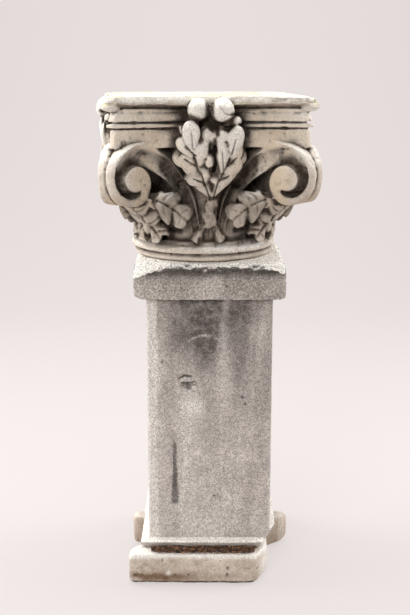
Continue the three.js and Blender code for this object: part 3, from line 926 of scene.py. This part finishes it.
def turn_radius(turns):
    """The spiral's radius, read from a smooth line through its quarter-turn radii."""
    line = smooth_line(TURN_RADII, 400)
    return np.interp(turns, FIRST_TURN + np.linspace(0, (len(TURN_RADII) - 1) / 4, 400), line)


def wound(turns, radius, breadth):
    """Points of the volute by turns from its top, radius from its eye, and breadth across the diagonal."""
    angle = math.pi / 2 - 2 * math.pi * turns
    return on_corner(EYE_RHO + radius * np.cos(angle), breadth, EYE_HEIGHT + radius * np.sin(angle))


def half_breadth(turns, radius):
    """Half the volute's breadth where its face has that radius. It falls away outwards along the diagonal, a
    little at first and then as a square, so that both faces splay towards the sides of the capital."""
    outward = radius * np.cos(math.pi / 2 - 2 * math.pi * turns)
    return np.clip(EYE_BREADTH - 0.16 * outward - 4.1 * np.maximum(outward, 0) ** 2, 0.020, 0.047)


def volute_band():
    """The wound band with the dish inside it. Its section has a broad outer face with a shallow groove, and a
    rim on either side. Inside the rim the stone sweeps down, steeply and then gently, to the floor of the
    dish. The rim grows wider, and the dish narrower and deeper, as the band winds in to the eye."""
    turns = np.linspace(-0.16, GROOVE_END + 0.03, 90)
    outer = turn_radius(turns)
    half = half_breadth(turns, outer)
    rim = 0.0050 + 0.0050 * ease(turns, 0.03, 0.26) + 0.0165 * ease(turns, 0.26, GROOVE_END)
    sweep_in = 0.034 - 0.0300 * ease(turns, 0.02, 0.36)
    floor = 0.0215 - 0.0120 * ease(turns, 0.05, 0.33)
    # Radius and breadth of each point of the section, from the middle of the outer face to inside the eye.
    right = [
        (outer - 0.0035, 0 * half), (outer - 0.0035, 0 * half + 0.0018), (outer, 0 * half + 0.0045),
        (outer, 0.6 * half), (outer - 0.0004, half - 0.0025), (outer - 0.0022, half),
        (outer - 0.5 * rim, half_breadth(turns, outer - 0.5 * rim) + 0.0006),
        (outer - rim + 0.001, half_breadth(turns, outer - rim)),
    ]
    rim_breadth = half_breadth(turns, outer - rim)
    for share, rise in ((0, 0.97), (0.12, 0.72), (0.33, 0.38), (0.65, 0.13), (1, 0)):
        right.append((outer - rim - share * sweep_in, floor + rise * (rim_breadth - floor)))
    right.append((np.full(len(turns), 0.012), 0.9 * floor))
    left = [(radius, -breadth) for radius, breadth in reversed(right[1:])]
    return shell(np.stack([wound(turns, radius, breadth) for radius, breadth in right + left], axis=1))


def volute_eye():
    """The eye, standing out on both sides: a drum whose outline is the spiral's last whole turn, flared to
    its middle."""
    turns = np.linspace(GROOVE_END, GROOVE_END + 1, 140)
    face = turn_radius(turns)
    proud = half_breadth(turns, face)
    # Share of the breadth, and how much wider the drum is there.
    half = (
        (1.0, -0.0032), (0.985, -0.0012), (0.945, 0.0), (0.70, 0.0008), (0.49, 0.0030), (0.35, 0.0070),
        (0.22, 0.0120),
    )
    levels = [(-share, flare) for share, flare in half] + list(reversed(half))
    return shell(np.array([wound(turns, face + flare, share * proud) for share, flare in levels]))


def volute_web():
    """The plate of stone left between the two scrolls, run back into the bell."""
    turns = np.linspace(0, 0.66, 40)
    arc = wound(turns, turn_radius(turns) - 0.008, 0.0)
    back = on_corner(np.array([0.20, 0.13, 0.13]), 0.0, np.array([0.905, 0.905, 1.03]))
    outline = np.concatenate([arc, back])
    across = on_corner(0.0, WEB_BREADTH, 0.0)
    return shell(np.array([outline - across, outline + across]))


# The stalks rise across the bell and run into the volutes. The left front one's rims, foot first.
STALK_OUTER = (
    (-0.018, -0.150, 0.825), (-0.022, -0.154, 0.862), (-0.033, -0.160, 0.912), (-0.056, -0.166, 0.957),
    (-0.088, -0.178, 1.001), (-0.121, -0.194, 1.0235), (-0.1598, -0.2160, 1.0330),
)
STALK_INNER = (
    (-0.036, -0.146, 0.822), (-0.047, -0.150, 0.868), (-0.064, -0.157, 0.905), (-0.082, -0.166, 0.932),
    (-0.103, -0.178, 0.953), (-0.128, -0.187, 0.970), (-0.153, -0.184, 0.985),
)
STALK_TROUGH = 0.019
STALK_ROOT = 0.045


def stalk():
    """A channel between two rims. Its section: an outer wall, the outer rim with a rounded top, a hollow that
    is half a sine wave deep, a lower inner rim, and an inner wall."""
    outer = smooth_line(STALK_OUTER, 60)
    inner = smooth_line(STALK_INNER, 60)
    back = unit(-(outer + inner) * [1, 1, 0])
    share = np.concatenate([[0, 0, 0.02, 0.08, 0.13], np.linspace(0.17, 0.86, 18), [0.90, 0.95, 0.985, 1, 1]])
    hollow = np.sin(math.pi * np.clip((share - 0.13) / 0.75, 0, 1)) ** 0.85
    depth = STALK_TROUGH * hollow + 0.003 * ease(share, 0.8, 1.0)
    depth[[0, 1, -2, -1]] = (STALK_ROOT, 0.004, 0.007, STALK_ROOT)
    flare = np.linspace(0.75, 1.15, len(outer))[:, None, None]
    return shell(outer[:, None] + (inner - outer)[:, None] * share[None, :, None]
                 + back[:, None] * depth[None, :, None] * flare)


def leaf(rib, facing, halves, lobes, thickness, bow, droop, lean, filled, notch=0.62, vein=0.0052):
    """Oak leaf along a midrib. Each half's width is an envelope times rounded lobes, one half's lobes a
    little ahead of the other's. The face is bowed on either side of a sunk midrib, each lobe is puffed round
    its own sunk vein, and the edges droop. Facing is the way the leaf looks at its foot and at its tip. The
    lobes lean to the tip, and the blade has its full width from the share of its length given as filled."""
    count = 110
    spine = smooth_line(rib, count)
    along = unit(np.gradient(spine, axis=0))
    u = np.linspace(0, 1, count)[:, None]
    side = unit(np.cross(along, (1 - u) * facing[0] + u * facing[1]))
    normal = unit(np.cross(side, along))
    length = np.linalg.norm(np.diff(spine, axis=0), axis=1).sum()
    envelope = np.sin(math.pi * np.clip(0.02 + 0.93 * u, 0, 1)) ** 0.5 * (0.25 + 0.75 * ease(u, 0.05, filled))

    def outline(v):
        """Width of the leaf's halves at a share v of the way across, and the phase of their lobes."""
        phase = lobes * u - 0.12 * (v > 0)
        lobed = 1 - notch * (1 - np.abs(np.sin(math.pi * phase)) ** 0.6)
        return np.where(v < 0, halves[0], halves[1]) * envelope * lobed, phase

    def placed(sideways, forwards, upwards):
        """Points of the leaf by how far they lie sideways, forwards and upwards from its spine."""
        return (spine[:, None] + side[:, None] * sideways[..., None] + along[:, None] * forwards[..., None]
                + normal[:, None] * upwards[..., None])

    v = np.linspace(-1, 1, 45)[None, :]
    width, phase = outline(v)
    reach = np.abs(v) * width
    to_vein = np.abs(phase - np.floor(phase) - 0.5) * length / lobes
    puff = np.abs(np.sin(math.pi * phase)) ** 0.6
    ribbed = 0.8 * vein * near(to_vein, 0, 0.0020) * ease(np.abs(v), 0.03, 0.2) * ease(np.abs(v), 0.85, 0.6)
    height = (bow * (1 - np.abs(v) ** 2.5) * (0.25 + 0.75 * puff) - droop * reach * np.abs(v) ** 1.5
              - vein * near(reach, 0, 0.0024) - ribbed)
    top = placed(v * width, lean * reach * np.abs(v), height)

    w = np.linspace(0.85, -0.85, 13)[None, :]
    width, _ = outline(w)
    depth = thickness * (1 - 0.5 * w**2) + droop * width * np.abs(w) ** 2.5
    under = placed(w * width * 0.9, lean * width * w**2 * 0.8, -depth)
    return shell(np.concatenate([top, under], axis=1))


def limb(knots, radii, ripple=0.0, seed=0):
    """Round limb through knots, its radius read from a smooth line, with gnarls that are waves round and
    along it."""
    count, sides = 44, 20
    line = smooth_line(knots, count)
    along = unit(np.gradient(line, axis=0))
    across = unit(np.cross(along, [0.3, -0.2, 0.93]))
    other = np.cross(along, across)
    angle = np.linspace(0, 2 * math.pi, sides, endpoint=False)
    u = np.linspace(0, 1, count)[:, None]
    gnarl = np.sin(3 * angle + 9 * u + seed) + np.sin(23 * u + 2 * angle + 2 * seed)
    radius = smooth_line(radii, count)[:, None] * (1 + ripple * gnarl)
    return shell(line[:, None] + across[:, None] * (radius * np.cos(angle))[..., None]
                 + other[:, None] * (radius * np.sin(angle))[..., None])


def ball(centre, radius, stretch=(1, 1, 1)):
    """Ball, or an egg when stretched: rings of latitude from pole to pole."""
    polar = np.linspace(0.12, math.pi - 0.12, 24)[:, None]
    angle = np.linspace(0, 2 * math.pi, 32, endpoint=False)[None, :]
    rings = np.stack(np.broadcast_arrays(
        np.sin(polar) * np.cos(angle), np.sin(polar) * np.sin(angle), -np.cos(polar)), axis=-1)
    return shell(np.array(centre) + radius * rings * stretch)


# A single lobe: the way it looks, half its thickness, and how far it bows and curls.
LOBE_FACING = np.array([0, -1, 0.15])
LOBE_THICKNESS = 0.0085
LOBE_CURL = 0.005


def tongue(foot, tip, half):
    """One lobe of a leaf: a tongue with an elliptic section, drawn in at its foot and round at its tip, that
    bows forward as half a sine wave and curls back as a cube."""
    foot, tip = np.array(foot), np.array(tip)
    along = unit(tip - foot)
    side = unit(np.cross(along, LOBE_FACING))
    out = np.cross(side, along)
    u = np.linspace(0, 1, 36)[:, None]
    rounding = np.sqrt(1 - np.clip((u - 0.60) / 0.41, 0, 1) ** 2)
    width = half * (0.62 + 0.38 * ease(u, 0, 0.55)) * rounding
    line = foot + (tip - foot) * u + out * (LOBE_CURL * np.sin(math.pi * u) - LOBE_CURL * u**3)
    angle = np.linspace(0, 2 * math.pi, 32, endpoint=False)[None, :]
    across, deep = width * np.cos(angle), LOBE_THICKNESS * rounding * np.sin(angle)
    return shell(line[:, None] + side * across[..., None] + out * deep[..., None])


def swapped(skin):
    """A skin of the front left corner mirrored across the corner's diagonal."""
    points, triangles = skin
    return points[:, [1, 0, 2]], triangles[:, ::-1]


# The leaves of the front left corner. Each is a midrib and the way the leaf looks at its foot and at its tip.
UNDER_RIB = on_corner(np.array([0.158, 0.176, 0.206, 0.240]), 0, np.array([0.806, 0.836, 0.870, 0.898]))
UNDER_FACING = np.array([(-1, -1, -0.3), (-1, -1, -0.9)])
SIDE_RIB = (
    (-0.168, -0.176, 0.918), (-0.128, -0.190, 0.912), (-0.086, -0.186, 0.893), (-0.050, -0.172, 0.862),
)
SIDE_FACING = np.array([(-0.3, -1, 0.45), (0.1, -1, 0.15)])
LOW_RIB = (
    (-0.158, -0.120, 0.866), (-0.140, -0.136, 0.860), (-0.120, -0.148, 0.841), (-0.106, -0.150, 0.817),
)
LOW_FACING = np.array([(-0.7, -1, 0.1), (-0.3, -1, -0.1)])
# Two single lobes that stand up between the side leaf and the stalk: foot, tip and half-width.
SIDE_LOBES = (
    ((-0.118, -0.184, 0.898), (-0.102, -0.178, 0.930), 0.0110),
    ((-0.090, -0.184, 0.892), (-0.074, -0.172, 0.917), 0.0110),
)


def corner_leaves():
    """The leaf under a volute with its midrib on the diagonal, a leaf on either side that reaches across the
    bell to its tip by the stalk's foot, two lobes that stand up from it, and a low leaf that curls down under
    it."""
    under = leaf(UNDER_RIB, UNDER_FACING, (0.070, 0.070), lobes=3, thickness=0.034, bow=0.008, droop=0.30,
                 lean=0.5, filled=0.62)
    beside = leaf(SIDE_RIB, SIDE_FACING, (0.041, 0.037), lobes=3, thickness=0.034, bow=0.009, droop=0.22,
                  lean=0.75, filled=0.5)
    low = leaf(LOW_RIB, LOW_FACING, (0.034, 0.030), lobes=2, thickness=0.022, bow=0.006, droop=0.2,
               lean=0.55, filled=0.4)
    side = [beside, low, *[tongue(foot, tip, half) for foot, tip, half in SIDE_LOBES]]
    return [under, *side, *[swapped(skin) for skin in side]]


# The branch on the front of the block. Its two leaves have a midrib, and lobes as foot, tip and half-width.
# The smaller leaf between them has only lobes.
FORK = (0.004, -0.182, 0.916)
LEFT_RIB = (
    (0.003, -0.180, 0.902), (-0.012, -0.194, 0.943), (-0.031, -0.206, 0.986), (-0.041, -0.216, 1.018),
    (-0.044, -0.226, 1.060),
)
LEFT_LOBES = (
    ((-0.014, -0.196, 0.948), (-0.057, -0.194, 0.966), 0.0175),
    ((-0.030, -0.204, 0.984), (-0.081, -0.192, 1.014), 0.0215),
    ((-0.034, -0.214, 1.008), (-0.074, -0.212, 1.044), 0.0165),
    ((-0.041, -0.220, 1.026), (-0.046, -0.234, 1.082), 0.0205),
    ((-0.050, -0.204, 1.036), (-0.067, -0.204, 1.074), 0.0075),
    ((-0.026, -0.206, 0.988), (-0.018, -0.224, 1.046), 0.0175),
    ((-0.014, -0.196, 0.948), (-0.011, -0.202, 0.996), 0.0145),
)
RIGHT_RIB = (
    (0.005, -0.180, 0.902), (0.014, -0.194, 0.943), (0.028, -0.206, 0.974), (0.040, -0.216, 1.004),
    (0.049, -0.226, 1.056),
)
RIGHT_LOBES = (
    ((0.018, -0.196, 0.953), (0.055, -0.198, 0.972), 0.0130),
    ((0.030, -0.204, 0.980), (0.074, -0.192, 1.020), 0.0220),
    ((0.043, -0.214, 1.010), (0.056, -0.232, 1.070), 0.0195),
    ((0.026, -0.208, 0.970), (0.019, -0.226, 1.052), 0.0150),
    ((0.038, -0.214, 1.028), (0.018, -0.222, 1.070), 0.0105),
    ((0.014, -0.192, 0.940), (0.002, -0.200, 0.970), 0.0110),
)
MIDDLE_LOBES = (
    ((-0.010, -0.200, 1.020), (-0.015, -0.224, 1.068), 0.0165),
    ((-0.002, -0.200, 1.020), (0.006, -0.220, 1.062), 0.0115),
    ((-0.028, -0.210, 1.072), (-0.044, -0.214, 1.092), 0.0080),
)
VEINED_LOBES = 4  # how many of each leaf's lobes have a vein, from the first
BLADE_HALVES = (0.033, 0.021)  # outer and inner half-width of the blade behind the lobes
# The limbs, each as knots and radii. The trunk and its two roots are gnarled.
TRUNK = (((0.001, -0.152, 0.850), (0.001, -0.166, 0.880), FORK), (0.0180, 0.0175, 0.0150))
LEFT_ROOT = ((-0.002, -0.162, 0.872), (-0.014, -0.158, 0.846), (-0.031, -0.152, 0.813))
RIGHT_ROOT = ((0.003, -0.162, 0.872), (0.014, -0.158, 0.846), (0.028, -0.152, 0.813))
ROOT_RADII = (0.010, 0.0085, 0.012)
BACKING = (((-0.002, -0.150, 0.965), (-0.002, -0.160, 1.040), (-0.002, -0.168, 1.100)), (0.026, 0.030, 0.032))
STEMS = (
    (((0.000, -0.178, 0.945), (-0.003, -0.196, 0.965), (-0.004, -0.206, 0.985)), (0.006, 0.006, 0.007)),
    ((FORK, (-0.003, -0.189, 0.930), LEFT_RIB[1]), (0.0085, 0.0075, 0.0080)),
    ((FORK, (0.010, -0.189, 0.930), RIGHT_RIB[1]), (0.0085, 0.0075, 0.0080)),
)
# Balls as middle, radius and stretch: the acorn, two galls that overlap the slab, and two knobs under them.
ACORN = ((-0.004, -0.214, 0.997), 0.0115, (1, 0.9, 1.5))
GALLS = (((-0.028, -0.215, 1.104), 0.0240), ((0.023, -0.219, 1.102), 0.0265))
KNOBS = (((0.051, -0.216, 1.080), 0.0125, (1.1, 1, 0.9)), ((0.034, -0.214, 1.077), 0.0095))
# The rough, knocked end of the slab at each corner.
CORNER_KNOCK = ((-0.212, -0.212, 1.1165), 0.0250, (1, 1, 0.72))


def branch():
    """The knotty trunk on its spread roots, two leaves with a smaller one between, stems, acorn, galls and
    knobs, and the stone left behind them."""
    roots = [limb(LEFT_ROOT, ROOT_RADII, 0.12, 2), limb(RIGHT_ROOT, ROOT_RADII, 0.12, 5)]
    forward = np.array([(0, -1, 0.1), (0, -1, 0.1)])
    blades = [
        leaf(rib, forward, halves, lobes=3, thickness=0.022, bow=0.007, droop=0.2, lean=0.5, filled=0.22,
             notch=0.3, vein=0.0)
        for rib, halves in ((LEFT_RIB, BLADE_HALVES), (RIGHT_RIB, BLADE_HALVES[::-1]))
    ]
    lobes = [tongue(foot, tip, half) for foot, tip, half in LEFT_LOBES + RIGHT_LOBES + MIDDLE_LOBES]
    stems = [limb(knots, radii) for knots, radii in (BACKING, *STEMS)]
    balls = [ball(*given) for given in (ACORN, *GALLS, *KNOBS)]
    return [limb(*TRUNK, 0.08, 1), *roots, *blades, *lobes, *stems, *balls]


def carving():
    """All of the capital's skins, turned with it."""
    corner = [volute_band(), volute_eye(), volute_web(), *corner_leaves(), ball(*CORNER_KNOCK)]
    face = [stalk(), other_hand(stalk()), *branch()]
    skins = [abacus(), bell()] + [turned(skin, angle) for skin in corner + face for angle in QUARTERS]
    return [turned(skin, CAPITAL_TURN) for skin in skins]


def folded(points):
    """Points turned round the upright axis by quarter turns to the front, in the capital's own square."""
    x, y, z = turned((points, None), -CAPITAL_TURN)[0].T
    angle = -np.round(np.arctan2(x, -y) / (math.pi / 2)) * math.pi / 2
    c, s = np.cos(angle), np.sin(angle)
    return np.stack([x * c - y * s, x * s + y * c, z], axis=1)


def to_lines(points, lines):
    """Distance from each point to the nearest of some bent lines, by projection on each straight piece."""
    nearest = np.full(len(points), np.inf)
    for line in lines:
        for start, step in zip(line[:-1], np.diff(line, axis=0)):
            share = np.clip((points - start) @ step / (step @ step), 0, 1)
            nearest = np.minimum(nearest, np.linalg.norm(points - start - share[:, None] * step, axis=1))
    return nearest


def on_round(across, heights, radius):
    """A line on the bell through points given across the face and by height."""
    across = np.array(across)
    return np.stack([across, -np.sqrt(radius**2 - across**2), heights], axis=1)


FLAT = np.array([1, 0, 1])  # times a point, it takes the depth away
# Narrow gaps cut beside the acorn, under it, and between the leaves' stems.
GAPS = (
    ((0.0060, 0, 1.042), (0.0085, 0, 1.016)), ((-0.0030, 0, 0.981), (-0.0010, 0, 0.972)),
    ((0.0030, 0, 0.946), (0.0032, 0, 0.930)),
)
# The curved split in the right gall, across and up from its middle.
SPLIT = (
    (-0.006, 0, 0.007), (0.001, 0, -0.003), (0.010, 0, -0.0088), (0.018, 0, -0.0095), (0.023, 0, -0.0070),
)


def veins():
    """Lines cut along the midribs and from them into the lobes, the gaps, and the split in the right gall, as
    seen from the front of the block, with no depth."""
    lines = []
    for rib, lobes in ((LEFT_RIB, LEFT_LOBES), (RIGHT_RIB, RIGHT_LOBES)):
        lines.append(smooth_line(rib, 16)[1:-4])
        for foot, tip, _ in lobes[:VEINED_LOBES]:
            lines.append(np.array([foot, np.add(foot, 0.55 * np.subtract(tip, foot))]))
    lines.append(np.array(GALLS[1][0]) + SPLIT)
    lines += [np.array(gap) for gap in GAPS]
    return [line * FLAT for line in lines]


def groove(points, lines, width):
    """How deep in a groove along lines each point lies, from 0 to 1: flat-bottomed, as a bell curve with the
    fourth power."""
    return np.exp(-((to_lines(points, lines) / width) ** 4))


def vein_share(front):
    """How deep in a vein each point of the branch lies, from 0 to 1."""
    return groove(front * FLAT, veins(), 0.0016) * ease(front[:, 1], -0.182, -0.190)


def cracks():
    """Grooves cut above the astragal on either side of the roots, and a crack between the roots."""
    return [
        on_round((-0.066, -0.050, -0.036), (0.8150, 0.8165, 0.8150), 0.1530),
        on_round((0.038, 0.055, 0.078), (0.8150, 0.8165, 0.8160), 0.1530),
        on_round((0.002, 0.0005, 0.001), (0.848, 0.826, 0.806), 0.1500),
    ]


def trunk_share(front):
    """How near each point is to the trunk and its roots, from 0 to 1."""
    _, y, z = front.T
    middle = np.array([(0.001, -0.160, 0.84), FORK])
    return ease(to_lines(front, [middle]), 0.040, 0.020) * ease(z, 0.922, 0.912) * ease(y, -0.153, -0.158)


def seam_share(front):
    """How near each point is to the place where a stalk runs into its volute, from 0 to 1."""
    x, y, z = front.T
    return near(np.abs(x), 0.145, 0.032) * near(z, 1.000, 0.032) * ease(y, -0.222, -0.212)


# Where the drill went in, on either side: middle across, height, half-length, half-breadth and slope.
DRILLED = (
    (0.074, 0.839, 0.016, 0.0065, 0.35), (0.098, 0.822, 0.0065, 0.0055, 0.0),
    (0.058, 0.942, 0.010, 0.0070, -0.7),
)


def drilled(front):
    """How deep in a drilled hollow each point lies, from 0 to 1: slanting ovals behind the tips of the low
    leaves, flat-bottomed, as a bell curve with the fourth power."""
    x, y, z = front.T
    holes = 0
    for middle, height, long, short, slope in DRILLED:
        along = (np.abs(x) - middle) * math.cos(slope) + (z - height) * math.sin(slope)
        across = (z - height) * math.cos(slope) - (np.abs(x) - middle) * math.sin(slope)
        holes = holes + np.exp(-((along / long) ** 4) - (across / short) ** 4)
    return holes * (np.abs(x) < 0.16) * (y > -0.200)


def slab_share(front):
    """Whether a point is on the abacus's top slab and not on a gall, from 0 to 1."""
    share = ease(front[:, 2], 1.1065, 1.1095)
    for centre, radius in GALLS:
        share = share * ease(np.linalg.norm(front - centre, axis=1), radius + 0.001, radius + 0.004)
    return share


def worn_capital(points, normals, edges):
    """A lumpy weathered top slab with knocked corners, mouldings with chips, softened carving, gnarled wood,
    the cut lines and drilled hollows, and a sandy surface."""
    z = points[:, 2]
    front = folded(points)
    slab_part = slab_share(front)
    corner = ease(np.abs(points[:, :2] @ np.array([[1, 1], [1, -1]])).max(axis=1), 0.375, 0.44) * slab_part
    soft = relaxed(points, edges, 30)
    amount = 0.22 * ease(noise(points, 0.05, 101, 2), 0.45, 0.8)
    amount = amount + slab_part * (0.30 + 0.5 * ease(noise(points, 0.04, 102, 2), 0.3, 0.7)) + corner
    amount = amount + seam_share(front)
    points = points + (soft - points) * np.clip(amount, 0, 1)[:, None]
    gnarl = trunk_share(front) * (0.0036 * ease(noise(points, 0.012, 108, 2), 0.35, 0.75))
    cut = 0.0034 * vein_share(front)
    cut = cut + 0.0045 * groove(front, cracks(), 0.0022) + 0.009 * drilled(front)
    lumps = corner * 0.010 * ease(noise(points, 0.030, 103, 2), 0.30, 0.75)
    outer = ease(np.abs(front[:, :2]).max(axis=1), 0.195, 0.230)
    chips = 0.0016 * ease(noise(points, 0.020, 109, 2), 0.60, 0.82) * ease(z, 1.020, 1.026) * (1 - slab_part)
    lumps = lumps + chips + 0.0085 * slab_part * outer * ease(noise(points, 0.040, 110, 3), 0.42, 0.72)
    coarse = slab_part * (0.0030 * noise(points, 0.018, 104, 2) + 0.0055 * noise(points, 0.060, 105, 2))
    fine = 0.0016 * noise(points, 0.018, 106, 2) + 0.0010 * ease(noise(points, 0.009, 107, 2), 0.62, 0.8)
    down = np.column_stack([normals[:, :2], np.minimum(normals[:, 2], 0.55)])
    return points - down * (lumps + coarse + fine + gnarl + cut)[:, None]


def crowding(points, normals):
    """How closely other stone stands in front of each point. The surface is marked in a grid of small cells,
    each cell then takes the share of marked cells in the cube round it, and that share is read at three steps
    out along the normal and summed."""
    cell, margin, reach = 0.004, 0.072, 3
    steps = (0.018, 0.030, 0.044)
    low = points.min(axis=0) - margin
    share = np.zeros(((np.ptp(points, axis=0) + 2 * margin) / cell).astype(int) + 1)
    share[tuple(((points - low) / cell).astype(int).T)] = 1
    for axis in range(3):
        total = np.cumsum(share, axis=axis)
        share = (np.roll(total, -reach, axis) - np.roll(total, reach + 1, axis)) / (2 * reach + 1)
    return sum(share[tuple(((points + step * normals - low) / cell).astype(int).T)] for step in steps)


GROOVES = (1.0634, 1.0758, 1.1066)  # heights of the three dark grooves round the abacus


def capital_marks(points, normals, edges):
    """Painted shade with some soot and soil in the hollows, cuts and grooves, where other stone stands close
    in front, between the leaves, under the volutes, on the wood, and as the branch's shadow on the abacus
    neck; lime on what faces up and on the leaf tips, with painted light, and in one patch on the astragal, tan
    and ochre on the mouldings and volutes, and moss on top."""
    x, y, z = points.T
    front = folded(points)
    side = np.abs(front[:, 0])
    fine, edge = hollows(points, normals, edges, 12, 0.0011)
    broad, ridge = hollows(points, normals, edges, 75, 0.0045)
    ragged = noise(points, 0.012, 111) - 0.5
    upward = ease(normals[:, 2], 0.35, 0.85)
    slab_part = slab_share(front)
    face = ease(z, 1.020, 1.026) * (1 - slab_part)
    central = ease(side, 0.150, 0.055)
    # The zone under the volutes is painted in shade, darker and browner.
    under = ease(z, 0.812, 0.822) * ease(z, 0.950, 0.905)

    # Painted shade, with some soot and soil.
    # Painted shade where other stone stands close in front, an ambient occlusion.
    crowd = relaxed(np.repeat(crowding(points, normals)[:, None], 3, axis=1), edges, 10)[:, 0]
    crowd = ease(crowd, 0.025, 0.15) * (1 - slab_part) * (1 - 0.85 * face * (1 - central))
    lines = vein_share(front) + groove(front, cracks(), 0.0021) + drilled(front)
    grooves = face * sum(near(z, level, 0.0019) for level in GROOVES)
    grooves = grooves * (0.65 + 0.35 * noise(points, 0.02, 115))
    # Painted shade over the side leaves.
    side_leaf = near(side, 0.095, 0.045) * near(z, 0.893, 0.040)
    back = ease(np.hypot(x, y), 0.215, 0.195)
    soil_and_shade = (0.7 * fine + 0.75 * broad) * (1 - 0.7 * slab_part) + 0.95 * crowd + 0.9 * grooves
    # The branch's shadow on the abacus neck, painted near the middle of each face.
    soil_and_shade += 0.62 * face * central * back + 0.9 * lines + 0.14 * under + 0.36 * side_leaf
    soil_and_shade += 0.42 * trunk_share(front)
    soil_and_shade *= (1 - 0.5 * ease(z, 0.811, 0.803)) * (1 - 0.35 * seam_share(front))
    soil_and_shade *= 1 - 0.42 * under * ease(side, 0.085, 0.060)

    # Lime and dusting, and painted light.
    # What faces up and stands clear is painted pale, as lit from above.
    bare = ease(crowd + broad, 0.65, 0.15)
    slab_white = slab_part * ease(z + 0.012 * ragged, 1.113, 1.128)
    dust = np.maximum(upward * bare * (0.85 - 0.5 * slab_part), slab_white * (0.8 - 0.5 * upward))
    # The upper leaves and galls that stand forward are painted pale: lime with painted light.
    lime = ease(z, 0.950, 1.045) * ease(front[:, 1], -0.194, -0.220) * (1 - slab_part)
    # The frieze is painted lighter against the slab's shadow.
    moulding = face * near(z, 1.088, 0.011) * (1 - central)
    mortar = ease(x, -0.005, 0.010) * ease(x, 0.150, 0.130) * near(z, 0.798, 0.007) * ease(y, -0.06, -0.08)
    dust = dust + 0.6 * lime * bare + 0.42 * moulding + 0.9 * mortar * ease(ragged, -0.1, 0.0)

    # Tan and ochre.
    tan = face * 0.22 * noise(points, 0.06, 112) + 0.25 * noise(points, 0.05, 113)
    outside = ease(np.hypot(x, y), 0.205, 0.235) * ease(z, 0.88, 0.90) * (1 - face) * (1 - slab_part)
    ochre = (outside + 0.7 * face) * ease(soil_and_shade, 0.55, 0.15) * ease(front[:, 1], -0.228, -0.216)
    # Edges that stand clear are painted pale: wear and a painted highlight.
    return {
        "hollow": soil_and_shade * (0.9 + 0.2 * ragged),
        "edge": np.maximum(edge, 0.8 * ridge) * bare,
        "dust": dust,
        "stain": tan + 0.5 * slab_part * (1 - slab_white) + 0.25 * under,
        "ochre": ochre * (0.5 + 0.5 * noise(points, 0.04, 116)),
        "moss": ease(normals[:, 2], 0.5, 0.9) * slab_part * ease(noise(points, 0.05, 114), 0.40, 0.62),
    }


capital = weathered(
    "carved_capital", "capital", carving(), voxel=0.0017, wear=worn_capital, marks=capital_marks)
capital_finish = stone_finish(
    "weathered carving stone", (CAPITAL_PALE, CAPITAL_BODY, CAPITAL_DARK, CAPITAL_STAIN),
    grain_size=1.0, grain=0.55, mottle=0.9, bump=1.0)
# Ochre, and then moss, are laid over the stone's own colour.
tree = capital_finish.node_tree
shader = tree.nodes["Principled BSDF"]
color = shader.inputs["Base Color"].links[0].from_socket
for mask, growth in (("ochre", CAPITAL_OCHRE), ("moss", CAPITAL_MOSS)):
    color = mixed(tree, product(tree, point_value(tree, mask), 0.6), color, growth)
tree.links.new(color, shader.inputs["Base Color"])
capital.data.materials.append(capital_finish)
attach(capital, "root")
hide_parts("capital")
